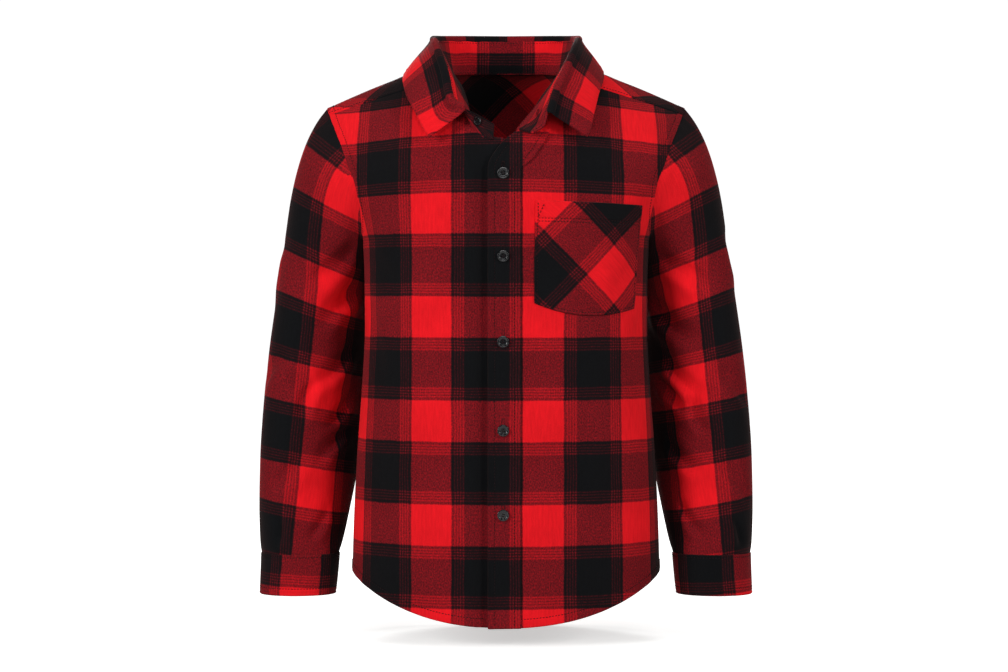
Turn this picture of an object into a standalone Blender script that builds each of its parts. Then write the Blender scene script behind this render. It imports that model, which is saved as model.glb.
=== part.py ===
"""A child's checked flannel shirt, filled out as if worn, with no wearer in it.

Lengths in the tables are millimetres. +Z is up, the front faces -Y and the wearer's left is +X.
The origin is in the middle of the neck opening, level with the tops of the shoulders.
"""
import math

import bpy
import numpy as np
from mathutils import Vector

MM = 0.001

# Cloth
CLOTH = 1.2                 # wall of one layer
FIRM_CLOTH = 1.6            # interlined collar and cuffs
GAP = 0.3                   # clear space between pieces
LAYER = CLOTH + GAP         # from the middle of one layer to the middle of the next
FRONT, BACK = -1, 1         # sides of the torso form
LEFT, RIGHT = 1, -1         # the wearer's sides

# Torso form: half width at the side, and depth to the front and the back, by height
TORSO = {
    "z":     (-560, -490, -440, -373, -303, -250, -200, -165, -158, -146, -128, -110, -83, -60, 40),
    "width": (154, 152.5, 151, 147.5, 142.5, 140, 140.5, 142.3, 145.2, 150, 160, 171, 182, 186, 186),
    "front": (102, 101, 101, 101, 102, 103, 104, 104, 104, 103.5, 102.5, 101, 99, 98, 98),
    "back":  (100, 96, 93, 90, 89, 90, 92, 94, 94, 94, 94, 93, 92, 91, 90),
}
ROUNDNESS = 2.6             # 2 is an ellipse, more is squarer
SHOULDER_DROP = 110         # height over which the shoulder turns down into chest and back
ARCH_FRONT = 1.5            # how squarely it turns down in front
ARCH_NECK = 3.6             # and behind, beside the neck
ARCH_ARM = 1.9              # and behind, at the armhole
RIDGE = {                   # top line of the shoulder, by distance from the middle
    "x": (0, 35, 54, 66, 80, 96, 112, 133, 154, 178, 200),
    "z": (16.5, 15.3, 9.8, 7.6, 5.8, 2.4, -4, -12.3, -21.3, -32, -42),
}

# Armhole seam
SHOULDER_POINT = (178, -32)
UNDERARM = (142.3, -165)
ARMHOLE = {
    "z":     (-165, -158, -146, -128, -110, -90, -72, -50, -38.5, -32),
    "front": (142.3, 141.3, 141, 143.5, 147, 155, 161.5, 171, 175.5, 178),
    "back":  (142.3, 143.5, 145.8, 150, 156, 163, 168.5, 174.5, 177, 178),
}

# Collar, on each side from the front end to the centre back: neck seam, the seam between stand and fall
# above it, and from the fourth row the fall's free edge, which starts at the collar's point
NECK = {
    LEFT: {
        "base_x": (12.5, 19.5, 28, 38, 45, 51, 59, 54, 35, 0),
        "base_y": (-88, -84, -76, -62, -47, -31, -3, 28, 48, 55),
        "base_z": (-60, -51, -39.5, -22.5, -12, -3, 8, 9, 11, 11.5),
        "top_x":  (25, 36.5, 40, 45.8, 55.5, 64, 69, 60, 38, 0),
        "top_y":  (-103, -105, -100, -88.5, -71, -47, 0, 32, 50.5, 57.5),
        "top_z":  (-64.5, -57, -42, -21.5, 1, 21, 36, 39.5, 41.5, 42),
    },
    RIGHT: {
        "base_x": (13, 23.5, 33.5, 39.5, 45, 51, 59, 54, 35, 0),
        "base_y": (-91, -89, -83, -66, -48, -31, -3, 28, 48, 55),
        "base_z": (-67.5, -64.5, -55, -30, -13, -3, 8, 9, 11, 11.5),
        "top_x":  (12, 25, 40, 50, 56.5, 64, 69, 60, 38, 0),
        "top_y":  (-79, -82, -91, -87.5, -71, -47, 0, 32, 50.5, 57.5),
        "top_z":  (-54.5, -47, -40, -30, -2, 21, 36, 39.5, 41.5, 42),
    },
}
SHOULDER_SEAM_ROW = 5       # row of NECK where the yoke's front seam meets the neck
FALL = {
    LEFT: {
        "edge_x": (77.5, 80.5, 85, 90.5, 96, 97, 84, 46, 0),
        "edge_y": (-97, -93, -81, -60, -29, 10, 47, 74, 80),
        "edge_z": (-67, -61, -43, -21, -4, 6, 2, -4, -6),
    },
    RIGHT: {
        "edge_x": (73.5, 78, 87, 97.5, 101.5, 101, 86, 46, 0),
        "edge_y": (-97, -93, -80, -58, -29, 10, 47, 74, 80),
        "edge_z": (-67.5, -61, -43, -22, -5, 4, 2, -4, -6),
    },
}
STAND_LIFT = 2.7            # the stand's lower edge clears the neck seam by this
FALL_LIFT = 1.0             # and the fall's lower edge clears the stand by this
FALL_START = 0.21           # where the fall begins, as a share of the way from front end to centre back
ROLL_HEIGHT = 5.5           # the roll rises this far above the stand
ROLL_WIDTH = 5.5            # and turns down this far outside it
FALL_BULGE = 3              # the fall bows outwards by this
STAND_COLUMNS, STAND_ROWS = 15, 4
FALL_COLUMNS = 13

# Front, row by row from the shoulder seam to the hem: where it starts, at the neck or the centre edge,
# where it meets the armhole or side seam, and how far it sags between
CENTRE = -1.5               # line of the buttons
EDGE = 15.3                 # from there to a front's edge
EDGE_ROWS = {
    "x":      (3, -8.5) + (-EDGE,) * 11,
    "z":      (-68.5, -82, -99, -122, -148, -178, -215, -262, -322, -392, -452, -500, -539),
    "side_z": (-134, -147, -157, -165, -179, -200, -228, -268, -325, -390, -440, -470, -490),
}
NECK_ROWS = {
    "side_z": (-38.5, -55, -70, -88, -104, -120),
    "sag":    (-5, -4, -3, -2, -1, 0),
}
NECK_LAPS = (0, 0, 0, 0, 0, 0.3, 1)    # share of the lap's lift at the first rows; below them it is whole
LAP_LIFT = {LEFT: 1.2, RIGHT: -0.5}    # the upper front stands out, the under front in
HEM_RISE_TOP = -440         # below this the rows bend to the shirt-tail hem
FRONT_SHARES = (0, 0.072, 0.11, 0.22, 0.33, 0.44, 0.55, 0.66, 0.77, 0.885, 1)    # the first two lap
SEAM = 0.25                 # each panel's edge stops this far short of its seam

BACK_ROWS = {
    "z":      (-66, -88, -108, -127, -145, -158, -172, -200, -240, -290, -350, -415, -470, -518, -550),
    "side_z": (-72, -90, -110, -128, -146, -158, -165, -190, -230, -280, -340, -400, -446, -474, -490),
}
BACK_COLUMNS = 18

YOKE_NECK_COLUMNS, YOKE_ROWS = 6, 6
YOKE_NECK_SHARE = 0.43      # the stretch of its back seam that lies below the neck
YOKE_INNER_LIFT = -2.6      # the inner layer lies this far inside the outer one

# Sleeve rings: outermost and innermost point, reach to the front and the back, and how far the ring
# still keeps the armhole's own shape
SLEEVE = {
    "out_x": (178, 187, 198, 207, 214.5, 220.5, 227.5, 236, 241, 245, 246, 245, 243),
    "out_z": (-32, -43.5, -64, -90, -123, -165, -213, -273, -320, -378, -429, -462, -476.6),
    "in_x":  (142.3, 151, 152.5, 151.5, 149.5, 147.5, 145.8, 147.6, 150, 152.8, 159, 164.5, 168),
    "in_z":  (-165, -171, -182, -198, -218, -244, -274, -311, -345, -385, -429, -462, -476.6),
    "front": (60, 62, 62, 60, 57, 54, 51, 48, 46.5, 45, 43, 40, 35),
    "back":  (50, 54, 56, 56, 55, 53, 49, 44, 41, 38, 35, 32, 28),
    "seam":  (1, 0.85, 0.6, 0.35, 0.15, 0, 0, 0, 0, 0, 0, 0, 0),
}
SLEEVE_COLUMNS = 20
SLEEVE_LIFT = 1.5           # the sleeve starts this far from the armhole seam
CUFF = {
    "out_x": (243.8, 244.6, 245.4),
    "out_z": (-477.8, -496, -515),
    "in_x":  (166.8, 168.6, 170.6),
    "in_z":  (-477.8, -496, -515),
    "front": (36, 35, 34),
    "back":  (29, 28.5, 28),
}
CUFF_COLUMNS = 22
CUFF_START = math.radians(62)    # the upper end of the cuff, round from the outside to the back
CUFF_LAP = math.radians(30)      # the ends lap by this much of a turn
CUFF_STEP = FIRM_CLOTH + GAP

BAND = {                    # buttonhole band: its near edge lies on the edge of the left front
    "near_x": (8.5, 2.9, -9.2) + (CENTRE - EDGE,) * 9,
    "near_z": (-64, -68.5, -82, -99, -140, -190, -240, -300, -360, -420, -480, -539),
    "far_x":  (42, 34, 24) + (CENTRE + EDGE,) * 9,
    "far_z":  (-61, -77, -90.5, -101, -140, -190, -240, -300, -360, -420, -480, -538.5),
    "dip":    (0,) * 12,
}
BAND_COLUMNS = 3

POCKET = {                  # its two side edges, from the hem to the foot, and the dip of the rows at the foot
    "near_x": (28.5, 28.5, 28, 28, 27.5, 27.5, 27.5, 27.5),
    "near_z": (-130, -143, -157, -171, -185, -199, -213, -227),
    "far_x":  (130.5, 129.5, 128.5, 127.3, 126, 125, 124, 122.8),
    "far_z":  (-132.5, -146, -160.5, -175, -189.5, -204, -218.5, -232),
    "dip":    (0, 0, 0, 0, 0, 1.5, 4.5, 9),
}
POCKET_COLUMNS = 9
POCKET_LIFT = LAYER + 0.4   # also clears the flats between the front's rows
BAND_LIFT = LAP_LIFT[LEFT] + LAYER + 0.2

# Buttons
BUTTON_HEIGHTS = (-103, -182.6, -264.5, -349.5, -430.5)
BUTTON_X = -2.8
BUTTON_PROFILE = {          # from the middle of the back round the rim to the middle of the face
    "radius": (0, 4.6, 5.7, 5.7, 4.9, 4.0, 0),
    "height": (0, 0, 0.8, 1.9, 2.6, 1.9, 1.8),
}
SMALL_BUTTON = 0.8          # the collar's button, as a share of the others
BUTTON_STEPS = 14
COLLAR_BUTTON = (0.15, 0.55)    # on the right end of the stand: how far round, and how far up

shirt = bpy.data.collections.new("Flannel shirt")


def curve(keys, values, at):
    """Value at a place on a smooth curve through a table's rows, which never overshoots them."""
    keys = np.asarray(keys, float)
    values = np.asarray(values, float)
    step = np.diff(keys)
    slope = np.diff(values) / step
    product = slope[1:] * slope[:-1]
    total = slope[1:] + slope[:-1]
    middle = np.where(product > 0, 2 * product / np.where(product > 0, total, 1), 0)
    tangent = np.concatenate(([slope[0]], middle, [slope[-1]]))
    at = min(max(at, keys[0]), keys[-1])
    i = min(max(int(np.searchsorted(keys, at)) - 1, 0), len(step) - 1)
    t = (at - keys[i]) / step[i]
    start = (1 + 2 * t) * (1 - t) ** 2 * values[i] + t * (1 - t) ** 2 * step[i] * tangent[i]
    end = t * t * (3 - 2 * t) * values[i + 1] + t * t * (t - 1) * step[i] * tangent[i + 1]
    return float(start + end)


def along(table, names, place):
    """Values of the named columns at a place from 0, the table's first row, to 1, its last."""
    last = len(table[names[0]]) - 1
    return [curve(range(last + 1), table[name], place * last) for name in names]


def smooth_step(t):
    t = min(max(t, 0), 1)
    return t * t * (3 - 2 * t)


def arch(x, side):
    """How squarely the shoulder turns down: the power of its rounded corner."""
    if side == FRONT:
        return ARCH_FRONT
    return ARCH_NECK + (ARCH_ARM - ARCH_NECK) * min(abs(x) / SHOULDER_POINT[0], 1)


def level_depth(x, z, side):
    """Depth of the form at a width, before the shoulder turns it in."""
    width = curve(TORSO["z"], TORSO["width"], z)
    depth = curve(TORSO["z"], TORSO["front" if side == FRONT else "back"], z)
    return side * depth * max(1 - (abs(x) / width) ** ROUNDNESS, 0) ** (1 / ROUNDNESS)


def shoulder_fall(x, z):
    """How far a height lies below the ridge: 0 on it, 1 at the foot of the shoulder."""
    return min(max((curve(RIDGE["x"], RIDGE["z"], abs(x)) - z) / SHOULDER_DROP, 0), 1)


def on_form(x, z, side):
    """Point of the torso form at a width and a height."""
    power = arch(x, side)
    inward = (1 - (1 - shoulder_fall(x, z)) ** power) ** (1 / power)
    return (x, level_depth(x, z, side) * inward, z)


def over_shoulder(x, turn):
    """Point of the form at a width, turned from the ridge (0) down the front (-1) or the back (1)."""
    side = FRONT if turn < 0 else BACK
    fall = 1 - math.cos(abs(turn) * math.pi / 2) ** (2 / arch(x, side))
    return on_form(x, curve(RIDGE["x"], RIDGE["z"], abs(x)) - SHOULDER_DROP * fall, side)


def turn_at_height(x, z, side):
    return side * math.acos((1 - shoulder_fall(x, z)) ** (arch(x, side) / 2)) / (math.pi / 2)


def turn_at_depth(x, y):
    side = FRONT if y < 0 else BACK
    share = min(y / level_depth(x, 0, side), 1)
    return side * math.asin(share ** (arch(x, side) / 2)) / (math.pi / 2)


def round_angle(x, z):
    """How far round the form a point lies: 0 at the centre, a quarter turn at the side seam."""
    share = min(abs(x) / curve(TORSO["z"], TORSO["width"], z), 1)
    return math.copysign(math.asin(share ** (ROUNDNESS / 2)), x)


def round_form(angle, z, side):
    """Point of the form at an angle round it and a height."""
    x = math.copysign(abs(math.sin(angle)) ** (2 / ROUNDNESS), angle)
    return on_form(x * curve(TORSO["z"], TORSO["width"], z), z, side)


def armhole_x(z, column):
    if z <= UNDERARM[1]:
        return curve(TORSO["z"], TORSO["width"], z)
    return curve(ARMHOLE["z"], ARMHOLE[column], z)


def moved_out(grid, distance):
    """The grid moved along its own normals; distance is one number or one for each point."""
    normal = np.cross(np.gradient(grid, axis=0), np.gradient(grid, axis=1))
    normal /= np.maximum(np.linalg.norm(normal, axis=2, keepdims=True), 1e-9)
    return grid + normal * np.broadcast_to(distance, grid.shape[:2])[..., None]


def mirrored(grid):
    """The grid on the other side of the body, its columns turned round so that it still faces out."""
    return grid[:, ::-1] * np.array((-1, 1, 1))


def across(start, end, share, sag, hem, side):
    """Point of a panel's row, from its start (x, z) to its end at the armhole or side seam."""
    x, z = start
    end_x, end_z = end
    angle = round_angle(x, z)
    angle += (round_angle(end_x, end_z) - angle) * share
    reach = abs(share)
    down = reach + (smooth_step(reach) - reach) * hem
    return round_form(angle, z + (end_z - z) * down + 4 * sag * reach * (1 - reach), side)


def trimmed(grid, *edges):
    """The grid with the named edges drawn back from their seams."""
    for edge in edges:
        rows = grid if edge in ("top", "bottom") else grid.swapaxes(0, 1)
        last, inner = (0, 1) if edge in ("top", "start") else (-1, -2)
        inward = rows[inner] - rows[last]
        rows[last] += inward / np.linalg.norm(inward, axis=1, keepdims=True) * SEAM
    return grid


def front_grid(side):
    """Front panel from the shoulder seam to the hem, from its edge at the neck or centre to the side."""
    neck = NECK[side]
    starts_x = neck["base_x"][SHOULDER_SEAM_ROW::-1] + EDGE_ROWS["x"]
    starts_z = neck["base_z"][SHOULDER_SEAM_ROW::-1] + EDGE_ROWS["z"]
    ends_z = NECK_ROWS["side_z"] + EDGE_ROWS["side_z"]
    sags = NECK_ROWS["sag"] + (0,) * len(EDGE_ROWS["x"])
    grid = []
    for x, z, end_z, sag in zip(starts_x, starts_z, ends_z, sags):
        x += side * CENTRE * smooth_step((-60 - z) / 45)
        end = (armhole_x(end_z, "front"), end_z)
        hem = smooth_step((HEM_RISE_TOP - z) / 80)
        grid.append([across((x, z), end, share, sag, hem, FRONT) for share in FRONT_SHARES])
    laps = NECK_LAPS + (1,) * (len(grid) - len(NECK_LAPS))
    lift = np.zeros((len(grid), len(FRONT_SHARES)))
    lift[:, :2] = LAP_LIFT[side] * np.array(laps)[:, None]
    grid = moved_out(trimmed(np.array(grid), "top", "end"), lift)
    return grid if side == LEFT else mirrored(grid)


def back_grid():
    """Back panel from the yoke to the hem, from side to side."""
    grid = []
    for z, side_z in zip(BACK_ROWS["z"], BACK_ROWS["side_z"]):
        end = (armhole_x(side_z, "back"), side_z)
        hem = smooth_step((HEM_RISE_TOP - z) / 80)
        shares = np.linspace(1, -1, BACK_COLUMNS + 1)
        grid.append([across((0, z), end, share, 0, hem, BACK) for share in shares])
    return trimmed(np.array(grid), "top", "start", "end")


def neck_seam(side, place):
    """Point of the neck seam, on the form: place 0 is the front end and 1 the centre back."""
    x, y, z = along(NECK[side], ("base_x", "base_y", "base_z"), place)
    if y < NECK[side]["base_y"][SHOULDER_SEAM_ROW]:
        return on_form(x, z, FRONT)
    return over_shoulder(x, turn_at_depth(x, y))


def yoke_half():
    """Half of the yoke, from the armhole to the centre back; each column runs from the back seam over the
    shoulder to the front seam or to the neck."""
    columns = []
    neck_end = (NECK[LEFT]["base_x"][SHOULDER_SEAM_ROW], NECK[LEFT]["base_z"][SHOULDER_SEAM_ROW])
    arm_z = NECK_ROWS["side_z"][0]
    arm_end = (armhole_x(arm_z, "front"), arm_z)
    back_end = (armhole_x(BACK_ROWS["side_z"][0], "back"), BACK_ROWS["side_z"][0])
    for share in FRONT_SHARES[:0:-1]:
        x, y, z = across(neck_end, arm_end, share, NECK_ROWS["sag"][0], 0, FRONT)
        columns.append((x, turn_at_height(x, z, FRONT), YOKE_NECK_SHARE + (1 - YOKE_NECK_SHARE) * share))
    start = SHOULDER_SEAM_ROW / (len(NECK[LEFT]["base_x"]) - 1)
    for s in np.linspace(0, 1, YOKE_NECK_COLUMNS + 1):
        x, y, z = neck_seam(LEFT, start + (1 - start) * s)
        turn = turn_at_height(x, z, FRONT) if s == 0 else turn_at_depth(x, y)
        columns.append((x, turn, YOKE_NECK_SHARE * (1 - s)))
    grid = []
    for q in np.linspace(0, 1, YOKE_ROWS + 1):
        row = []
        for k, (top_x, top_turn, back_share) in enumerate(columns):
            back_x, back_y, back_z = across((0, BACK_ROWS["z"][0]), back_end, back_share, 0, 0, BACK)
            back_turn = turn_at_height(back_x, back_z, BACK)
            turn = back_turn + (top_turn - back_turn) * q
            x = back_x + (top_x - back_x) * q
            if k == 0:
                z = over_shoulder(x, turn)[2]
                x = armhole_x(z, "front" if turn < 0 else "back")
            row.append(over_shoulder(x, turn))
        grid.append(row)
    return trimmed(np.array(grid), "top", "bottom", "start")


def yoke_grid():
    half = yoke_half()
    return np.concatenate((mirrored(half)[:, ::-1], half[:, -2::-1]), axis=1)


def stand_point(side, place):
    """Lower edge, upper edge and the directions up and outwards of the stand at a place."""
    base = np.array(neck_seam(side, place))
    top = np.array(along(NECK[side], ("top_x", "top_y", "top_z"), place))
    step = 0.02
    ahead = np.array(along(NECK[side], ("top_x", "top_y", "top_z"), min(place + step, 1)))
    behind = np.array(along(NECK[side], ("top_x", "top_y", "top_z"), max(place - step, 0)))
    up = (top - base) / np.linalg.norm(top - base)
    out = np.cross(ahead - behind, up)
    return base, top, up, out / np.linalg.norm(out)


def stand_grid():
    """Stand, from the wearer's right front end round the back to the left front end."""
    halves = []
    for side in (RIGHT, LEFT):
        half = []
        for place in np.linspace(0, 1, STAND_COLUMNS + 1):
            base, top, up, out = stand_point(side, place)
            half.append(np.linspace(base + up * STAND_LIFT, top, STAND_ROWS))
        halves.append(np.swapaxes(np.array(half), 0, 1))
    right = halves[0] * np.array((-1, 1, 1))
    return np.concatenate((right, halves[1][:, -2::-1]), axis=1)


def fall_column(side, place):
    """One section of the fall: up from the stand, over the roll and down to the free edge."""
    base, top, up, out = stand_point(side, FALL_START + (1 - FALL_START) * place)
    edge = np.array(along(FALL[side], ("edge_x", "edge_y", "edge_z"), place))
    start = top + up * FALL_LIFT
    rise = top + up * (ROLL_HEIGHT - 1.6) + out * 0.5
    roll = top + up * ROLL_HEIGHT + out * ROLL_WIDTH / 2
    turn = top + up * (ROLL_HEIGHT - 2.2) + out * ROLL_WIDTH
    middle = (turn + edge) / 2 + out * FALL_BULGE
    down = [(1 - t) ** 2 * turn + 2 * t * (1 - t) * middle + t * t * edge for t in (0.33, 0.66, 1)]
    return [start, rise, roll, turn] + down


def fall_grid():
    halves = []
    for side in (RIGHT, LEFT):
        half = [fall_column(side, place) for place in np.linspace(0, 1, FALL_COLUMNS + 1)]
        halves.append(np.swapaxes(np.array(half), 0, 1))
    right = halves[0] * np.array((-1, 1, 1))
    return np.concatenate((right, halves[1][:, -2::-1]), axis=1)


def ring(table, place, angle):
    """Point of a sleeve or cuff ring at an angle round from the outside to the back."""
    names = ("out_x", "out_z", "in_x", "in_z", "front", "back")
    out_x, out_z, in_x, in_z, front, back = along(table, names, place)
    outward = (1 + math.cos(angle)) / 2
    depth = math.sin(angle) * (back if math.sin(angle) > 0 else front)
    return np.array((in_x + (out_x - in_x) * outward, depth, in_z + (out_z - in_z) * outward))


def armhole_point(angle):
    """Point of the armhole seam, at an angle round from its top to the back."""
    z = SHOULDER_POINT[1] + (UNDERARM[1] - SHOULDER_POINT[1]) * (1 - math.cos(angle)) / 2
    side = BACK if math.sin(angle) > 0 else FRONT
    return np.array(on_form(armhole_x(z, "front" if side == FRONT else "back"), z, side))


def sleeve_grid():
    """Sleeve of the wearer's left arm, from the armhole to the cuff."""
    grid = []
    rings = len(SLEEVE["out_x"])
    angles = np.arange(SLEEVE_COLUMNS) * 2 * math.pi / SLEEVE_COLUMNS
    for r in range(rings):
        place = r / (rings - 1)
        keep = SLEEVE["seam"][r]
        row = []
        for a in angles:
            row.append(ring(SLEEVE, place, a) + keep * (armhole_point(a) - ring(SLEEVE, 0, a)))
        grid.append(row)
    grid = np.array(grid)
    away = grid[1] - grid[0]
    grid[0] += away / np.linalg.norm(away, axis=1, keepdims=True) * SLEEVE_LIFT
    return grid


def cuff_grid():
    """Cuff of the wearer's left arm: a strip once round, its upper end lapped over the lower."""
    turn = 2 * math.pi + CUFF_LAP
    shares = np.linspace(0, 1, CUFF_COLUMNS + 1)
    grid = []
    for place in np.linspace(0, 1, len(CUFF["out_x"])):
        grid.append([ring(CUFF, place, CUFF_START - CUFF_LAP + s * turn) for s in shares])
    lap = CUFF_LAP / turn
    lift = [-CUFF_STEP * smooth_step((lap * 1.6 - s) / (lap * 0.5)) for s in shares]
    return moved_out(np.array(grid), lift)


def collar_button_place():
    """Where the collar's button sits on the right end of the stand, and the way that it faces."""
    place, share = COLLAR_BUTTON
    base, top, up, out = stand_point(RIGHT, place)
    return base + (top - base) * share + out * (FIRM_CLOTH / 2 + 5 * GAP), out


def cuff_button_place():
    """Where the button of the left cuff sits, and the way that it faces."""
    angle = CUFF_START - CUFF_LAP / 2
    step = 0.05
    point = ring(CUFF, 0.5, angle)
    out = np.cross(ring(CUFF, 1, angle) - ring(CUFF, 0, angle), ring(CUFF, 0.5, angle + step) - point)
    out /= np.linalg.norm(out)
    return point + out * (FIRM_CLOTH / 2 + 2 * GAP), out


def strip_grid(table, columns, lift):
    """Piece that lies on the left front, between two edges given row by row."""
    grid = []
    for near_x, near_z, far_x, far_z, dip in zip(*table.values()):
        row = []
        for s in np.linspace(0, 1, columns + 1):
            x = near_x + (far_x - near_x) * s
            z = near_z + (far_z - near_z) * s - dip * 4 * s * (1 - s)
            row.append(on_form(x, z, FRONT))
        grid.append(row)
    return moved_out(np.array(grid), lift)


def make_material(name, colour, roughness):
    material = bpy.data.materials.new(name)
    material.use_nodes = True
    shader = material.node_tree.nodes["Principled BSDF"]
    shader.inputs["Base Color"].default_value = (*colour, 1)
    shader.inputs["Roughness"].default_value = roughness
    shader.inputs["Metallic"].default_value = 0
    return material


def add_cloth(name, grid, material, thickness=CLOTH, closed=False):
    """A wall of cloth: the grid as an open surface, thickened evenly to both sides."""
    rows, columns = grid.shape[:2]
    faces = []
    for r in range(rows - 1):
        for c in range(columns if closed else columns - 1):
            d = (c + 1) % columns
            faces.append((r * columns + c, (r + 1) * columns + c, (r + 1) * columns + d, r * columns + d))
    mesh = bpy.data.meshes.new(name)
    mesh.from_pydata([tuple(p) for p in grid.reshape(-1, 3) * MM], [], faces)
    mesh.materials.append(material)
    mesh.shade_smooth()
    piece = bpy.data.objects.new(name, mesh)
    shirt.objects.link(piece)
    wall = piece.modifiers.new("Wall", "SOLIDIFY")
    wall.thickness = thickness * MM
    wall.offset = 0


def add_button(name, point, facing, material, size=1.0):
    """A turned button at a point of the cloth, its face looking along a direction."""
    radii = BUTTON_PROFILE["radius"][::-1]
    heights = BUTTON_PROFILE["height"][::-1]
    profile = [(radius * size * MM, 0, height * size * MM) for radius, height in zip(radii, heights)]
    mesh = bpy.data.meshes.new(name)
    mesh.from_pydata(profile, [(i, i + 1) for i in range(len(profile) - 1)], [])
    mesh.materials.append(material)
    button = bpy.data.objects.new(name, mesh)
    shirt.objects.link(button)
    turned = button.modifiers.new("Turned", "SCREW")
    turned.steps = BUTTON_STEPS
    turned.render_steps = BUTTON_STEPS
    turned.use_merge_vertices = True
    turned.merge_threshold = 0.00001
    turned.use_normal_calculate = True
    button.location = [v * MM for v in point]
    button.rotation_mode = "QUATERNION"
    button.rotation_quaternion = Vector(facing).to_track_quat("Z", "Y")


def main():
    for thing in list(bpy.data.objects):
        bpy.data.objects.remove(thing)
    bpy.context.scene.collection.children.link(shirt)
    flannel = make_material("flannel", (0.45, 0.02, 0.03), 0.95)
    resin = make_material("button_resin", (0.01, 0.01, 0.012), 0.2)

    add_cloth("front_right", front_grid(RIGHT), flannel)
    add_cloth("front_left", front_grid(LEFT), flannel)
    add_cloth("back", back_grid(), flannel)
    yoke = yoke_grid()
    add_cloth("yoke_outer", yoke, flannel)
    add_cloth("yoke_inner", moved_out(yoke, YOKE_INNER_LIFT), flannel)
    add_cloth("collar_stand", stand_grid(), flannel, FIRM_CLOTH)
    add_cloth("collar_fall", fall_grid(), flannel, FIRM_CLOTH)
    add_cloth("placket_band", strip_grid(BAND, BAND_COLUMNS, BAND_LIFT), flannel)
    add_cloth("pocket", strip_grid(POCKET, POCKET_COLUMNS, POCKET_LIFT), flannel)
    sleeve = sleeve_grid()
    add_cloth("sleeve_left", sleeve, flannel, closed=True)
    add_cloth("sleeve_right", mirrored(sleeve), flannel, closed=True)
    cuff = cuff_grid()
    add_cloth("cuff_left", cuff, flannel, FIRM_CLOTH)
    add_cloth("cuff_right", mirrored(cuff), flannel, FIRM_CLOTH)
    for n, z in enumerate(BUTTON_HEIGHTS, 1):
        x, y, z = on_form(BUTTON_X, z, FRONT)
        add_button(f"button_{n}", (x, y - BAND_LIFT - CLOTH / 2 - 2 * GAP, z), (0, -1, 0), resin)
    other_side = np.array((-1, 1, 1))
    point, out = collar_button_place()
    add_button("button_collar", point * other_side, out * other_side, resin, SMALL_BUTTON)
    point, out = cuff_button_place()
    add_button("button_cuff_left", point, out, resin)
    add_button("button_cuff_right", point * other_side, out * other_side, resin)


main()
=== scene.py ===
import math

import bpy
import numpy as np
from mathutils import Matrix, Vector


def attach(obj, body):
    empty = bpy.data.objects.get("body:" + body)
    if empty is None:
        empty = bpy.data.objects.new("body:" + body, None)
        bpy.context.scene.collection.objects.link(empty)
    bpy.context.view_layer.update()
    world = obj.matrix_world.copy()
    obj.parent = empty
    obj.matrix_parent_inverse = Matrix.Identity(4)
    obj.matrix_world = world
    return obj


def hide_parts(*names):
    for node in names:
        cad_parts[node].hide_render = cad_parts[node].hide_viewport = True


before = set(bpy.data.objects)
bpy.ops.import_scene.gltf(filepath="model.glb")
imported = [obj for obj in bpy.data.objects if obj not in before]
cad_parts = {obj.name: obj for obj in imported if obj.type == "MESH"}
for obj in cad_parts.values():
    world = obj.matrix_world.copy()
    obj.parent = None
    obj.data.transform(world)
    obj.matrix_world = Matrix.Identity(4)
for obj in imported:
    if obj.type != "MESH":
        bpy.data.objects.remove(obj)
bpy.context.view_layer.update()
print("frame loaded")

# Lengths below are millimetres; meshes are made in metres.
# +Z is up, the front faces -Y, and the wearer's left is +X.
leftSide, rightSide = 1, -1
frontFace, backFace = -1, 1


# curves and the filled-out body that the cloth lies on

def curveThrough(keys, values, at):
    # smooth curve through the rows of a table, which never overshoots them
    keys = np.asarray(keys, float)
    values = np.asarray(values, float)
    step = np.diff(keys)
    slope = np.diff(values) / step
    product = slope[1:] * slope[:-1]
    total = slope[1:] + slope[:-1]
    middle = np.where(product > 0, 2 * product / np.where(product > 0, total, 1), 0)
    tangent = np.concatenate(([slope[0]], middle, [slope[-1]]))
    at = np.clip(np.asarray(at, float), keys[0], keys[-1])
    i = np.clip(np.searchsorted(keys, at) - 1, 0, len(step) - 1)
    t = (at - keys[i]) / step[i]
    start = (1 + 2 * t) * (1 - t) ** 2 * values[i] + t * (1 - t) ** 2 * step[i] * tangent[i]
    end = t * t * (3 - 2 * t) * values[i + 1] + t * t * (t - 1) * step[i] * tangent[i + 1]
    return start + end


def tableAt(table, name, place):
    # a named column at a place from 0, the first row, to 1, the last
    last = len(table[name]) - 1
    return curveThrough(range(last + 1), table[name], np.asarray(place) * last)


def smoothStep(t):
    t = np.clip(t, 0, 1)
    return t * t * (3 - 2 * t)


torso = {                   # half width and the depth to the front and the back, by height
    "z":     (-560, -490, -440, -373, -303, -250, -200, -165, -158, -146, -128, -110, -83, -60, 40),
    "width": (154, 152.5, 151, 147.5, 142.5, 140, 140.5, 142.3, 145.2, 150, 160, 171, 182, 186, 186),
    "front": (102, 101, 101, 101, 102, 103, 104, 104, 104, 103.5, 102.5, 101, 99, 98, 98),
    "back":  (100, 96, 93, 90, 89, 90, 92, 94, 94, 94, 94, 93, 92, 91, 90),
    # the shoulder ridge, outwards from the middle
    "ridgeX": (0, 35, 54, 66, 80, 96, 112, 133, 154, 178, 200),
    "ridgeZ": (16.5, 15.3, 9.8, 7.6, 5.8, 2.4, -4, -12.3, -21.3, -32, -42),
    "roundness": 2.6,       # of a level section: 2 is an ellipse
    "shoulderDrop": 110,    # the body reaches its full depth this far below the ridge
    # how square it is from there up to the ridge
    "archFront": 1.5,
    "archNeck": 3.6,
    "archArm": 1.9,
    "clothLevel": -150,     # the cloth's length is measured from here
    "shoulderPoint": (178, -32),    # across and up
    "underarm": (142.3, -165),
}
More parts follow.
